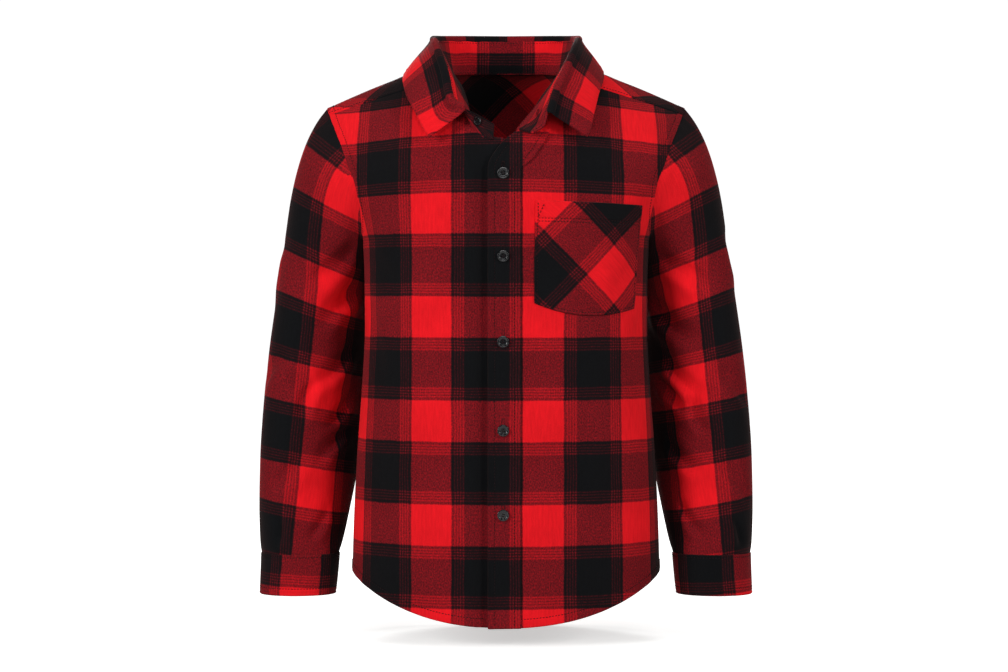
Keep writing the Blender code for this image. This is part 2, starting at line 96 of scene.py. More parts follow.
armhole = {                 # how far out its seam lies, by height
    "z":     (-165, -158, -146, -128, -110, -90, -72, -50, -38.5, -32),
    "front": (142.3, 141.3, 141, 143.5, 147, 155, 161.5, 171, 175.5, 178),
    "back":  (142.3, 143.5, 145.8, 150, 156, 163, 168.5, 174.5, 177, 178),
}


def ridgeAt(x):
    return curveThrough(torso["ridgeX"], torso["ridgeZ"], np.abs(x))


def squareness(x, side):
    if side == frontFace:
        return torso["archFront"] + 0 * np.asarray(x, float)
    share = np.minimum(np.abs(x) / torso["shoulderPoint"][0], 1)
    return torso["archNeck"] + (torso["archArm"] - torso["archNeck"]) * share


def levelDepth(x, z, side):
    width = curveThrough(torso["z"], torso["width"], z)
    depth = curveThrough(torso["z"], torso["front" if side == frontFace else "back"], z)
    power = torso["roundness"]
    return side * depth * np.maximum(1 - (np.abs(x) / width) ** power, 0) ** (1 / power)


def shoulderFall(x, z):
    return np.clip((ridgeAt(x) - z) / torso["shoulderDrop"], 0, 1)


def onForm(x, z, side):
    x, z = np.broadcast_arrays(np.asarray(x, float), np.asarray(z, float))
    power = squareness(x, side)
    inward = (1 - (1 - shoulderFall(x, z)) ** power) ** (1 / power)
    return np.stack((x, levelDepth(x, z, side) * inward, z), axis=-1)


def overShoulder(x, turn):
    # turned from the ridge (0) down the front (-1) or down the back (1)
    x, turn = np.broadcast_arrays(np.asarray(x, float), np.asarray(turn, float))
    sides = []
    for side in (frontFace, backFace):
        fall = 1 - np.cos(np.abs(turn) * math.pi / 2) ** (2 / squareness(x, side))
        sides.append(onForm(x, ridgeAt(x) - torso["shoulderDrop"] * fall, side))
    return np.where((turn < 0)[..., None], sides[0], sides[1])


def turnAtHeight(x, z, side):
    return side * np.arccos((1 - shoulderFall(x, z)) ** (squareness(x, side) / 2)) / (math.pi / 2)


def turnAtDepth(x, y):
    turns = []
    for side in (frontFace, backFace):
        share = np.clip(y / levelDepth(x, 0, side), 0, 1)
        turns.append(side * np.arcsin(share ** (squareness(x, side) / 2)) / (math.pi / 2))
    return np.where(np.asarray(y) < 0, turns[0], turns[1])


def roundAngle(x, z):
    share = np.minimum(np.abs(x) / curveThrough(torso["z"], torso["width"], z), 1)
    return np.copysign(np.arcsin(share ** (torso["roundness"] / 2)), x)


def roundForm(angle, z, side):
    x = np.copysign(np.abs(np.sin(angle)) ** (2 / torso["roundness"]), angle)
    return onForm(x * curveThrough(torso["z"], torso["width"], z), z, side)


def armholeX(z, column):
    below = curveThrough(torso["z"], torso["width"], z)
    return np.where(np.asarray(z) <= torso["underarm"][1], below, curveThrough(armhole["z"], armhole[column], z))


def pathLength(points):
    return np.linalg.norm(np.diff(points, axis=0), axis=-1).sum(axis=0)


def clothOnForm(x, z, side):
    # how far across and up the cloth a point lies, measured over the body from the centre and from a level
    level = torso["clothLevel"]
    steps = np.linspace(0, 1, 25).reshape((25,) + (1,) * np.ndim(x))
    angle = roundAngle(x, z)
    across = np.sign(x) * pathLength(roundForm(angle * steps, z + 0 * steps, side))
    up = pathLength(roundForm(angle + 0 * steps, level + (z - level) * steps, side))
    return np.stack((across, level + np.sign(z - level) * up), axis=-1)


# grids of points and the cloth made from them

def unit(vectors):
    return vectors / np.maximum(np.linalg.norm(vectors, axis=-1, keepdims=True), 1e-9)


def runAlong(points):
    # distance along a line of points, from its first
    return np.concatenate(([0], np.cumsum(np.linalg.norm(np.diff(points, axis=0), axis=1))))


def pickAlong(spots, along, vectors):
    # what a line's points or normals are at distances along it
    return np.stack([np.interp(spots, along, vectors[:, k]) for k in range(3)], axis=1)


def gridNormals(grid, closed=False):
    if closed:
        over = np.roll(grid, -1, axis=1) - np.roll(grid, 1, axis=1)
    else:
        over = np.gradient(grid, axis=1)
    return unit(np.cross(np.gradient(grid, axis=0), over))


def movedOut(grid, distance):
    return grid + gridNormals(grid) * np.broadcast_to(distance, grid.shape[:2])[..., None]


def edgeDistances(grid):
    down = np.linalg.norm(np.diff(grid, axis=0), axis=2)
    over = np.linalg.norm(np.diff(grid, axis=1), axis=2)
    top = np.concatenate((np.zeros((1, grid.shape[1])), np.cumsum(down, axis=0)))
    start = np.concatenate((np.zeros((grid.shape[0], 1)), np.cumsum(over, axis=1)), axis=1)
    return {"top": top, "bottom": top[-1:] - top, "start": start, "end": start[:, -1:] - start}


def nearest(distances, *edges):
    return np.minimum.reduce([distances[edge] for edge in edges])


def onBias(across, up):
    # the check's directions for cloth cut at 45 degrees
    return np.stack((across + up, across - up), axis=-1) / math.sqrt(2)


def named(piece, side):
    return piece + ("_left" if side == leftSide else "_right")


def forSide(side, grid, cloth, relief):
    # made for the wearer's left, and turned over for the right
    if side == leftSide:
        return grid, cloth, relief
    return grid[:, ::-1] * (-1, 1, 1), cloth[:, ::-1], relief[:, ::-1]


def spacedPlaces(lengths, step, fineStart, fineEnd, fineStep=1.0):
    # places from 0 to 1 along rows whose distances apart are given: even steps, finer near the ends
    knots = np.concatenate(([0], np.cumsum(lengths)))
    total = knots[-1]
    middle = total - fineStart - fineEnd
    spots = np.concatenate((
        np.arange(0, fineStart, fineStep),
        fineStart + np.linspace(0, middle, max(int(middle / step), 2), endpoint=False),
        np.arange(total - fineEnd, total - 0.5 * fineStep, fineStep),
        [total],
    ))
    return np.interp(spots, knots, np.linspace(0, 1, len(knots)))


def dent(distance, at, depth=0.4, width=0.9):
    # the shallow groove that a row of stitches pulls into the nap
    return -depth * np.exp(-((distance - at) / width) ** 2)


def fold(distance, width, height):
    # the thicker strip where the edge is turned under
    return height * (1 - smoothStep((distance - width + 0.6) / 1.2))


def stitchedFold(distance, stitchAt, width, height):
    # an edge turned under and stitched down
    return dent(distance, stitchAt) + fold(distance, width, height)


def ripple(distance, along, reach, height):
    # uneven puckers beside a seam
    wave = np.sin(along / 2.9) + 0.8 * np.sin(along / 4.7 + 1.3) + 0.6 * np.sin(along / 7.9 + 0.4)
    return height * wave / 2 * np.exp(-(distance / reach) ** 2)


def creaseRelief(across, up, creases):
    # soft troughs with a low ridge along one side, each from one place on the cloth to another
    relief = np.zeros(np.shape(across))
    for startU, startV, endU, endV, width, depth, bow in creases:
        lineU, lineV = endU - startU, endV - startV
        length = math.hypot(lineU, lineV)
        t = ((across - startU) * lineU + (up - startV) * lineV) / length ** 2
        side = ((across - startU) * lineV - (up - startV) * lineU) / length
        side = side - bow * 4 * t * (1 - t)
        fade = smoothStep(t / 0.35) * smoothStep((1 - t) / 0.35)
        trough = -np.exp(-(side / width) ** 2) + 0.55 * np.exp(-((side - 1.7 * width) / (1.1 * width)) ** 2)
        relief += depth * fade * trough
    return relief


def withTuck(arrays, edge, reach, depth):
    # lengthens a sheet past one edge, dipping inwards so that it passes under its neighbour
    swap = edge in ("start", "end")
    flip = edge in ("top", "start")

    def turned(a):
        a = a.swapaxes(0, 1) if swap else a
        return a[::-1] if flip else a

    def turnedBack(a):
        a = a[::-1] if flip else a
        return a.swapaxes(0, 1) if swap else a

    grid, cloth, wall, relief = arrays
    normals = turned(gridNormals(grid))
    grid, cloth, wall, relief = (turned(a) for a in (grid, cloth, wall, relief))
    away = grid[-1] - grid[-2]
    length = np.linalg.norm(away, axis=-1, keepdims=True)
    reach = np.broadcast_to(reach, length.shape[:1])[:, None]
    onward = (cloth[-1] - cloth[-2]) / length
    rows, cloths = [], []
    for share, drop in ((0.4, 0.6), (1, 1)):
        rows.append(grid[-1] + away / length * reach * share - normals[-1] * depth * drop * np.minimum(reach, 1))
        cloths.append(cloth[-1] + onward * reach * share)
    grid = np.concatenate((grid, rows))
    cloth = np.concatenate((cloth, cloths))
    wall = np.concatenate((wall, wall[-1:], wall[-1:]))
    relief = np.concatenate((relief, relief[-1:] * 0.5, relief[-1:] * 0))
    return tuple(turnedBack(a) for a in (grid, cloth, wall, relief))


rimOut = 0.42               # a rim stands out by this share of the wall


def addToScene(name, data):
    thing = bpy.data.objects.new(name, data)
    bpy.context.scene.collection.objects.link(thing)
    return thing


def clothShell(name, grid, cloth, wall, relief, closed=False):
    # a thin closed shell round the grid: outer face, inner face and a rounded rim
    rows, columns = grid.shape[:2]
    normals = gridNormals(grid, closed)
    outer = grid + normals * (wall / 2 + relief)[..., None]
    inner = grid - normals * (wall / 2 - np.minimum(relief, 0.3) * 0.6)[..., None]
    count = rows * columns
    clothColumns = columns + 1 if closed else columns       # a closed sheet's check has a cut at its first column
    r, c = (a.ravel() for a in np.meshgrid(np.arange(rows - 1), np.arange(clothColumns - 1), indexing="ij"))

    def cells(wide, after):
        here, below = r * wide, (r + 1) * wide
        return np.stack((here + c, below + c, below + after, here + after), axis=1)

    quads, places = cells(columns, (c + 1) % columns), cells(clothColumns, c + 1)
    faces = [quads, quads[:, ::-1] + count]
    corners = [places, places[:, ::-1]]
    if closed:
        loops = [[(0, k) for k in range(columns)], [(rows - 1, k) for k in range(columns - 1, -1, -1)]]
    else:
        loops = [[(0, k) for k in range(columns - 1)] + [(k, columns - 1) for k in range(rows - 1)]
                 + [(rows - 1, k) for k in range(columns - 1, 0, -1)] + [(k, 0) for k in range(rows - 1, 0, -1)]]
    rim, base = [], 2 * count
    for loop in loops:
        i, j = np.array(loop).T
        out = (i == 0)[:, None] * unit(grid[0, j] - grid[1, j])
        out += (i == rows - 1)[:, None] * unit(grid[-1, j] - grid[-2, j])
        if not closed:
            out += (j == 0)[:, None] * unit(grid[i, 0] - grid[i, 1])
            out += (j == columns - 1)[:, None] * unit(grid[i, -1] - grid[i, -2])
        middle = (outer[i, j] + inner[i, j]) / 2
        rim.append(middle + unit(out) * rimOut * wall[i, j][:, None])
        a = i * columns + j
        b = np.roll(a, -1)
        m = base + np.arange(len(a))
        n = np.roll(m, -1)
        faces += [np.stack((a, b, n, m), axis=1), np.stack((m, n, b + count, a + count), axis=1)]
        pa = i * clothColumns + j
        pb = np.roll(pa, -1)
        if closed:
            step = 1 if j[1] > j[0] else -1
            pa = np.where((step < 0) & (j == 0), pa + columns, pa)
            pb = pa + step
        corners += [np.stack((pa, pb, pb, pa), axis=1)] * 2
        base += len(a)
    points = np.concatenate([outer.reshape(-1, 3), inner.reshape(-1, 3)] + rim) / 1000
    faces = np.concatenate(faces)
    corners = np.concatenate(corners)

    mesh = bpy.data.meshes.new(name)
    mesh.from_pydata(points.tolist(), [], faces.tolist())
    layer = mesh.uv_layers.new(name="clothCut")
    layer.data.foreach_set("uv", (cloth.reshape(-1, 2)[corners.ravel()] / 1000).ravel())
    mesh.shade_smooth()
    return addToScene(name, mesh)


def makeSheet(name, grid, cloth, wall, relief=0.0, tucks=(), closed=False):
    # the CAD node of this name is replaced; what comes back is where the stitches go
    wall = np.broadcast_to(np.asarray(wall, float), grid.shape[:2]).copy()
    relief = np.broadcast_to(np.asarray(relief, float), grid.shape[:2]).copy()
    normals = gridNormals(grid, closed)
    sheet = {
        "outer": grid + normals * (wall / 2 + relief)[..., None],
        "inner": grid - normals * (wall / 2)[..., None],
        "normals": normals,
        "distances": edgeDistances(grid),
    }
    arrays = (grid, cloth, wall, relief)
    for edge, reach, depth in tucks:
        arrays = withTuck(arrays, edge, reach, depth)
    piece = clothShell("cloth_" + name, *arrays, closed=closed)
    piece.data.materials.append(flannel)
    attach(piece, "root")
    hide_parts(name)
    return sheet


def lineInside(sheet, edge, distance, inside=False):
    # points and normals along a sheet, at a distance in from one of its edges
    points = sheet["inner" if inside else "outer"]
    normals = sheet["normals"] * (-1 if inside else 1)
    away = sheet["distances"][edge]
    if edge in ("start", "end"):
        points, normals, away = points.swapaxes(0, 1), normals.swapaxes(0, 1), away.T
    if edge in ("bottom", "end"):
        points, normals, away = points[::-1], normals[::-1], away[::-1]
    places, ways = [], []
    for k in range(points.shape[1]):
        at = np.interp(distance, away[:, k], np.arange(len(away)))
        i = min(int(at), len(away) - 2)
        places.append(points[i, k] + (points[i + 1, k] - points[i, k]) * (at - i))
        ways.append(normals[i, k] + (normals[i + 1, k] - normals[i, k]) * (at - i))
    return np.array(places), unit(np.array(ways))


def cutShort(line, first, last):
    # the stretch of a line between two distances along it; a negative one is from its end
    points, normals = line
    along = runAlong(points)
    first = first if first >= 0 else along[-1] + first
    last = last if last > 0 else along[-1] + last
    spots = np.linspace(first, last, max(int((last - first) / 1.5), 2))
    return pickAlong(spots, along, points), unit(pickAlong(spots, along, normals))


# materials

def fromHex(code):
    # sRGB hex to the linear colour that the shader wants
    channels = [int(code[i:i + 2], 16) / 255 for i in (1, 3, 5)]
    return tuple(c / 12.92 if c <= 0.04045 else ((c + 0.055) / 1.055) ** 2.4 for c in channels) + (1,)


def addNode(tree, kind, inputs, **settings):
    # an input gets a value, or the node that feeds it, with its output's name unless that is the first
    node = tree.nodes.new("ShaderNode" + kind)
    for name, value in settings.items():
        setattr(node, name, value)
    for name, value in inputs.items():
        source, output = value if isinstance(value, tuple) and len(value) == 2 else (value, 0)
        if isinstance(source, bpy.types.Node):
            tree.links.new(source.outputs[output], node.inputs[name])
        else:
            node.inputs[name].default_value = value
    return node


def fillRamp(node, stops):
    ramp = node.color_ramp
    while len(ramp.elements) > 1:
        ramp.elements.remove(ramp.elements[-1])
    ramp.elements[0].position, ramp.elements[0].color = stops[0]
    for place, colour in stops[1:]:
        ramp.elements.new(place).color = colour


def emptyMaterial(name):
    material = bpy.data.materials.new(name)
    material.use_nodes = True
    material.node_tree.nodes.clear()
    return material, material.node_tree


# Buffalo check as it is woven, over one repeat and the same for warp and weft: a black stripe, a band of
# fine red lines on black, a red stripe and the band again. 0 is red thread and 1 is black.
check = {
    "repeat": 100,          # mm
    "blackHalf": 17.2,
    "blackBlur": 0.2,
    "lineFirst": 1.3,       # the first red line, past the black stripe
    "lineStep": 2.7,
    "lineHalf": 1.05,
    "lineShade": 0.48,
    "betweenLines": 0.88,
    "lines": 4,
    "edgeLine": 2.4,        # the black line that closes the band
    "edgeShade": 0.9,
    "edgeBlur": 0.7,
    "wander": 1.2,          # threads drift to and fro by up to half of this
}


def checkStops():
    # place in mm from the middle of the black stripe, and how much of the thread there is black
    stops = [(0, 1.0), (check["blackHalf"] - check["blackBlur"], 1.0)]
    spots = check["blackHalf"] + check["lineFirst"] + check["lineStep"] * np.arange(check["lines"])
    for spot in spots.tolist():
        stops += [(spot - check["lineHalf"], check["betweenLines"]), (spot, check["lineShade"]),
                  (spot + check["lineHalf"], check["betweenLines"])]
    end = spot + check["lineHalf"] + check["edgeLine"]
    return stops + [(end - check["edgeBlur"], check["edgeShade"]), (end + check["edgeBlur"], 0.0)]


flannelLook = {
    "red": "#E0161F",
    "threeQuarterRed": "#A8141C",
    "halfTone": "#6C1219",      # red and black threads crossing
    "quarterTone": "#2D0E12",
    "black": "#0B0D0F",
    "heather": 2.64,            # how far the brushed fibres mix at a crossing
    "heatherAlways": 0.06,      # and everywhere
    "sheen": "#FFB0A8",
    "fleck": 1.5,               # mm, tuft size
    "fleckStretch": (1.25, 0.8, 1),     # tufts are longer along the warp than across it
    "nap": 0.35,                # mm, relief of the brushed face
    "streak": (1, 0.12, 1),     # streaks of nap lie along the warp
    "brightness": (0.86, 1.12),         # from the darkest brushing to the lightest
    "twill": 1.6,               # mm between ribs, as finer ones would not show
    "ribShare": 0.22,
}


def makeFlannel():
    # Brushed cotton flannel: yarn-dyed twill, raised on both faces. Matt, with a soft bright edge from the
    # nap where the cloth turns away, and heathered where red and black threads cross.
    material, tree = emptyMaterial("brushedCottonFlannel")
    cloth = addNode(tree, "UVMap", {}, uv_map="clothCut")
    drift = addNode(tree, "TexNoise", {"Vector": cloth, "Scale": 45, "Detail": 1}, noise_dimensions="2D")
    centred = addNode(tree, "VectorMath", {0: (drift, "Color"), 1: (0.5, 0.5, 0.5)}, operation="SUBTRACT")
    pushed = addNode(tree, "VectorMath", {0: centred, 1: (check["wander"] / 1000,) * 3, 2: cloth},
                     operation="MULTIPLY_ADD")
    repeats = addNode(tree, "VectorMath", {0: pushed, "Scale": 1000 / check["repeat"]}, operation="SCALE")
    split = addNode(tree, "SeparateXYZ", {"Vector": repeats})
    threads = []
    for axis in ("X", "Y"):
        inRepeat = addNode(tree, "Math", {0: (split, axis), 1: 0.5}, operation="PINGPONG")
        spread = addNode(tree, "Math", {0: inRepeat, 1: 2.0}, operation="MULTIPLY")
        stripes = addNode(tree, "ValToRGB", {"Fac": spread})
        fillRamp(stripes, [(place * 2 / check["repeat"], (shade,) * 3 + (1,)) for place, shade in checkStops()])
        threads.append(stripes)
    both = addNode(tree, "Math", {0: threads[0], 1: threads[1]}, operation="ADD")
    blend = addNode(tree, "Math", {0: both, 1: 0.5}, operation="MULTIPLY")

    # flecks of brushed fibre, most where the two colours cross
    stretched = addNode(tree, "Mapping", {"Vector": cloth, "Scale": flannelLook["fleckStretch"]})
    tufts = addNode(tree, "TexNoise", {"Vector": stretched, "Scale": 1000 / flannelLook["fleck"], "Detail": 3,
                                       "Roughness": 0.62}, noise_dimensions="2D")
    tuftHeight = addNode(tree, "Math", {0: tufts, 1: 0.5}, operation="SUBTRACT")
    away = addNode(tree, "Math", {0: 1.0, 1: blend}, operation="SUBTRACT")
    crossing = addNode(tree, "Math", {0: blend, 1: away}, operation="MULTIPLY")
    amount = addNode(tree, "Math", {0: crossing, 1: flannelLook["heather"], 2: flannelLook["heatherAlways"]},
                     operation="MULTIPLY_ADD")
    heathered = addNode(tree, "Math", {0: tuftHeight, 1: amount, 2: blend}, operation="MULTIPLY_ADD")
    dyed = addNode(tree, "ValToRGB", {"Fac": heathered})
    fillRamp(dyed, [(place, fromHex(flannelLook[name])) for place, name in
                    ((0.03, "red"), (0.25, "threeQuarterRed"), (0.5, "halfTone"), (0.76, "quarterTone"),
                     (0.97, "black"))])

    # streaks of nap lying one way, and broad unevenness in the brushing
    streakSpace = addNode(tree, "Mapping", {"Vector": cloth, "Scale": flannelLook["streak"]})
    streaks = addNode(tree, "TexNoise", {"Vector": streakSpace, "Scale": 520, "Detail": 2}, noise_dimensions="2D")
    broad = addNode(tree, "TexNoise", {"Vector": cloth, "Scale": 22, "Detail": 3}, noise_dimensions="2D")
    light = addNode(tree, "Math", {0: streaks, 1: broad}, operation="ADD")
    darkest, lightest = flannelLook["brightness"]
    level = addNode(tree, "MapRange", {"Value": light, "From Min": 0.6, "From Max": 1.4,
                                       "To Min": darkest, "To Max": lightest})
    brushed = addNode(tree, "VectorMath", {0: dyed, "Scale": level}, operation="SCALE")

    # relief: the tufts, over the diagonal ribs of the twill
    turned = addNode(tree, "Mapping", {"Vector": cloth, "Rotation": (0, 0, math.radians(45))})
    ribScale = 1000 / flannelLook["twill"] * math.pi / 10       # a wave is pi / 10 long at scale 1
    twill = addNode(tree, "TexWave", {"Vector": turned, "Scale": ribScale, "Distortion": 2.0, "Detail": 1,
                                      "Detail Scale": 2}, wave_type="BANDS", bands_direction="X")
    ribs = addNode(tree, "Math", {0: (twill, "Fac"), 1: flannelLook["ribShare"]}, operation="MULTIPLY")
    relief = addNode(tree, "Math", {0: tufts, 1: ribs}, operation="ADD")
    bump = addNode(tree, "Bump", {"Height": relief, "Strength": 0.55, "Distance": flannelLook["nap"] / 1000})
    shader = addNode(tree, "BsdfPrincipled", {
        "Base Color": brushed, "Roughness": 0.92, "IOR": 1.5, "Specular IOR Level": 0.06, "Sheen Weight": 0.045,
        "Sheen Roughness": 0.5, "Sheen Tint": fromHex(flannelLook["sheen"]), "Normal": bump})
    addNode(tree, "OutputMaterial", {"Surface": shader})
    material.displacement_method = "BUMP"
    return material


threadLook = {"dark": "#0C0506", "light": "#22090C"}
resinLook = {
    "dark": "#050507",
    "light": "#111216",
    "roughness": (0.06, 0.16),      # polished and scratched
}


def makeThread():
    # Spun polyester sewing thread, dark red: a dull line with a faint twist of light along it.
    material, tree = emptyMaterial("spunPolyesterThread")
    place = addNode(tree, "TexCoord", {})
    fuzz = addNode(tree, "TexNoise", {"Vector": (place, "Object"), "Scale": 900, "Detail": 2})
    tone = addNode(tree, "ValToRGB", {"Fac": fuzz})
    fillRamp(tone, [(0.3, fromHex(threadLook["dark"])), (0.7, fromHex(threadLook["light"]))])
    shader = addNode(tree, "BsdfPrincipled", {"Base Color": tone, "Roughness": 0.8, "IOR": 1.5,
                                              "Specular IOR Level": 0.15})
    addNode(tree, "OutputMaterial", {"Surface": shader})
    return material


def makeResin():
    # Cast polyester button resin, tumbled to a gloss: near black, with sharp small reflections and fine
    # scratches that soften them.
    material, tree = emptyMaterial("castPolyesterResin")
    place = addNode(tree, "TexCoord", {})
    cloud = addNode(tree, "TexNoise", {"Vector": (place, "Object"), "Scale": 260, "Detail": 3})
    tone = addNode(tree, "ValToRGB", {"Fac": cloud})
    fillRamp(tone, [(0.35, fromHex(resinLook["dark"])), (0.7, fromHex(resinLook["light"]))])
    scratches = addNode(tree, "TexNoise", {"Vector": (place, "Object"), "Scale": 1500, "Detail": 2})
    polished, scratched = resinLook["roughness"]
    rough = addNode(tree, "MapRange", {"Value": scratches, "To Min": polished, "To Max": scratched})
    shader = addNode(tree, "BsdfPrincipled", {"Base Color": tone, "Roughness": rough, "IOR": 1.55,
                                              "Specular IOR Level": 0.3})
    addNode(tree, "OutputMaterial", {"Surface": shader})
    return material


flannel = makeFlannel()
thread = makeThread()
resin = makeResin()
print("materials made")


# fronts, back, band and pocket, all laid on the body

neck = {                    # from each front end to the centre back: the neck seam and the top of the stand
    leftSide: {
        "baseX": (12.5, 19.5, 28, 38, 45, 51, 59, 54, 35, 0),
        "baseY": (-88, -84, -76, -62, -47, -31, -3, 28, 48, 55),
        "baseZ": (-60, -51, -39.5, -22.5, -12, -3, 8, 9, 11, 11.5),
        "topX":  (25, 36.5, 40, 45.8, 55.5, 64, 69, 60, 38, 0),
        "topY":  (-103, -105, -100, -88.5, -71, -47, 0, 32, 50.5, 57.5),
        "topZ":  (-64.5, -57, -42, -21.5, 1, 21, 36, 39.5, 41.5, 42),
    },
    rightSide: {
        "baseX": (13, 23.5, 33.5, 39.5, 45, 51, 59, 54, 35, 0),
        "baseY": (-91, -89, -83, -66, -48, -31, -3, 28, 48, 55),
        "baseZ": (-67.5, -64.5, -55, -30, -13, -3, 8, 9, 11, 11.5),
        "topX":  (12, 25, 40, 50, 56.5, 64, 69, 60, 38, 0),
        "topY":  (-79, -82, -91, -87.5, -71, -47, 0, 32, 50.5, 57.5),
        "topZ":  (-54.5, -47, -40, -30, -2, 21, 36, 39.5, 41.5, 42),
    },
    "shoulderSeamRow": 5,   # where the shoulder seam meets it
}

fronts = {
    "centre": -1.5,         # line of the buttons
    # below the neck: the front edge, the side's level on each row, and the rows' sag and lap
    "edgeX": (3, -8.5) + (-15.3,) * 11,
    "edgeZ": (-68.5, -82, -99, -122, -148, -178, -215, -262, -322, -392, -452, -500, -539),
    "sideZ": (-38.5, -55, -70, -88, -104, -120, -134, -147, -157, -165, -179, -200, -228, -268, -325, -390,
              -440, -470, -490),
    "sag": (-5, -4, -3, -2, -1, 0) + (0,) * 13,
    "lap": (0, 0, 0, 0, 0, 0.3) + (1,) * 13,
    "lapLift": {leftSide: 1.2, rightSide: -0.5},    # the left front lies over the right one
    "lapFade": (0.072, 0.045),      # the lap ends this share of the way across, over this share
    "leavesNeck": (-60, 45),        # the edge turns to the centre line below this level, over this height
    "groove": (19.5, 5.5, 5),       # where the under front sinks beside the front edge, how wide and how deep
    "grooveFrom": (-70, 40),        # below this level, over this height
    "hemRise": (-440, 80),          # below this level the rows bend to the shirt-tail hem, over this height
    "wall": 1.15,
    "hem": 9,
    "armholeStitch": 6.5,
    "girth": 172,           # across one front, and its points' spacing, in mm: plain and near the edges
    "step": 3.2,
    "edgeStep": 1.1,
    # where a black stripe runs down each front, and the level of a black stripe across both
    "stripeAt": {leftSide: -14.3, rightSide: -22.5},
    "rowAt": -291,
}

# soft creases in the body: from (across, up) to (across, up), width, depth, bow
frontCreases = {
    leftSide: [
        (150, -175, 92, -232, 7, 0.9, 4),
        (158, -205, 118, -300, 9, 1.0, -5),
        (120, -330, 100, -470, 12, 0.8, 6),
        (60, -380, 68, -520, 14, 0.7, -4),
        (132, -60, 96, -112, 8, 0.6, 3),
    ],
    rightSide: [
        (146, -180, 98, -226, 8, 0.8, 3),
        (160, -215, 126, -312, 9, 1.1, 5),
        (112, -345, 122, -480, 13, 0.8, -5),
        (48, -400, 40, -525, 12, 0.6, 4),
        (126, -66, 100, -118, 8, 0.6, -3),
    ],
}
backCreases = [
    (40, -80, 62, -250, 14, 3.1, 6),
    (-34, -85, -58, -220, 13, 2.7, -5),
    (120, -120, 96, -235, 9, 2.0, 4),
    (-128, -128, -100, -260, 10, 2.4, -6),
    (70, -300, 52, -470, 15, 2.2, 5),
    (-88, -320, -74, -500, 14, 2.5, -4),
    (4, -360, -8, -520, 17, 1.9, 6),
    (130, -330, 138, -460, 12, 2.0, -5),
]


def bodyRow(x, z, endX, endZ, share, sag, hem, side):
    # points of a panel's row, from its start to its end at the armhole or side seam
    start = roundAngle(x, z)
    angle = start + (roundAngle(endX, endZ) - start) * share
    reach = np.abs(share)
    down = reach + (smoothStep(reach) - reach) * hem
    return roundForm(angle, z + (endZ - z) * down + 4 * sag * reach * (1 - reach), side)


def hemBend(z):
    level, over = fronts["hemRise"]
    return smoothStep((level - z) / over)


def aboveUnderarm(grid):
    # 1 along the armhole and 0 along the side seam
    return smoothStep((grid[..., 2] - torso["underarm"][1] + 3) / 6)


def hemRelief(distances, cloth):
    toHem = distances["bottom"]
    return stitchedFold(toHem, fronts["hem"] - 1, fronts["hem"], 0.45) + ripple(toHem, cloth[..., 0], 12, 0.3)


def frontPanel(side):
    row = neck["shoulderSeamRow"]
    table = {
        "x": neck[side]["baseX"][row::-1] + fronts["edgeX"],
        "z": neck[side]["baseZ"][row::-1] + fronts["edgeZ"],
        "sideZ": fronts["sideZ"], "sag": fronts["sag"], "lap": fronts["lap"],
    }
    lengths = np.hypot(np.diff(table["x"]), np.diff(table["z"])) / 2 + np.abs(np.diff(table["sideZ"])) / 2
    places = spacedPlaces(lengths, fronts["step"], 3, fronts["hem"] + 5, fronts["edgeStep"])
    x, z, endZ, sag, lap = (tableAt(table, name, places)[:, None] for name in ("x", "z", "sideZ", "sag", "lap"))
    level, over = fronts["leavesNeck"]
    x = x + side * fronts["centre"] * smoothStep((level - z) / over)
    seam = fronts["armholeStitch"]
    shares = spacedPlaces([fronts["girth"]], fronts["step"], 4, seam + 4, fronts["edgeStep"])[None, :]
    grid = bodyRow(x, z, armholeX(endZ, "front"), endZ, shares, sag, hemBend(z), frontFace)
    cloth = clothOnForm(grid[..., 0], grid[..., 2], frontFace)
    distances = edgeDistances(grid)
    toSide = distances["end"]
    lapEnd, lapOver = fronts["lapFade"]
    lift = fronts["lapLift"][side] * lap * (1 - smoothStep((shares - lapEnd) / lapOver))
    relief = creaseRelief(cloth[..., 0], cloth[..., 1], frontCreases[side])
    relief *= smoothStep(toSide / 12) * smoothStep(distances["bottom"] / 12)
    relief += hemRelief(distances, cloth)
    armholeEdge = stitchedFold(toSide, seam, seam, 0.3) + ripple(toSide, cloth[..., 1], 10, 0.25)
    relief += armholeEdge * aboveUnderarm(grid)
    if side == rightSide:
        at, wide, deep = fronts["groove"]
        level, over = fronts["grooveFrom"]
        beside = (grid[..., 0] - at) / wide
        lift = lift - deep * np.exp(-beside ** 2) * smoothStep((level - grid[..., 2]) / over)
    cloth = cloth - np.array((side * fronts["stripeAt"][side], fronts["rowAt"]))
    neckRows = 1 - smoothStep((places * len(table["x"]) - (row + 0.4)) / 0.5)
    grid, cloth, relief = forSide(side, movedOut(grid, lift), cloth, relief)
    edge = "start" if side == leftSide else "end"
    tucks = [(edge, 0.1 + 0.9 * neckRows, 1.2), ("top", 4, 1.5)]
    return makeSheet(named("front", side), grid, cloth, fronts["wall"], relief, tucks)


frontLeft = frontPanel(leftSide)
frontRight = frontPanel(rightSide)

back = {                    # each row's level in the middle and at the side
    "z": (-66, -88, -108, -127, -145, -158, -172, -200, -240, -290, -350, -415, -470, -518, -550),
    "sideZ": (-72, -90, -110, -128, -146, -158, -165, -190, -230, -280, -340, -400, -446, -474, -490),
    "girth": 344,
    "step": 3.4,
}


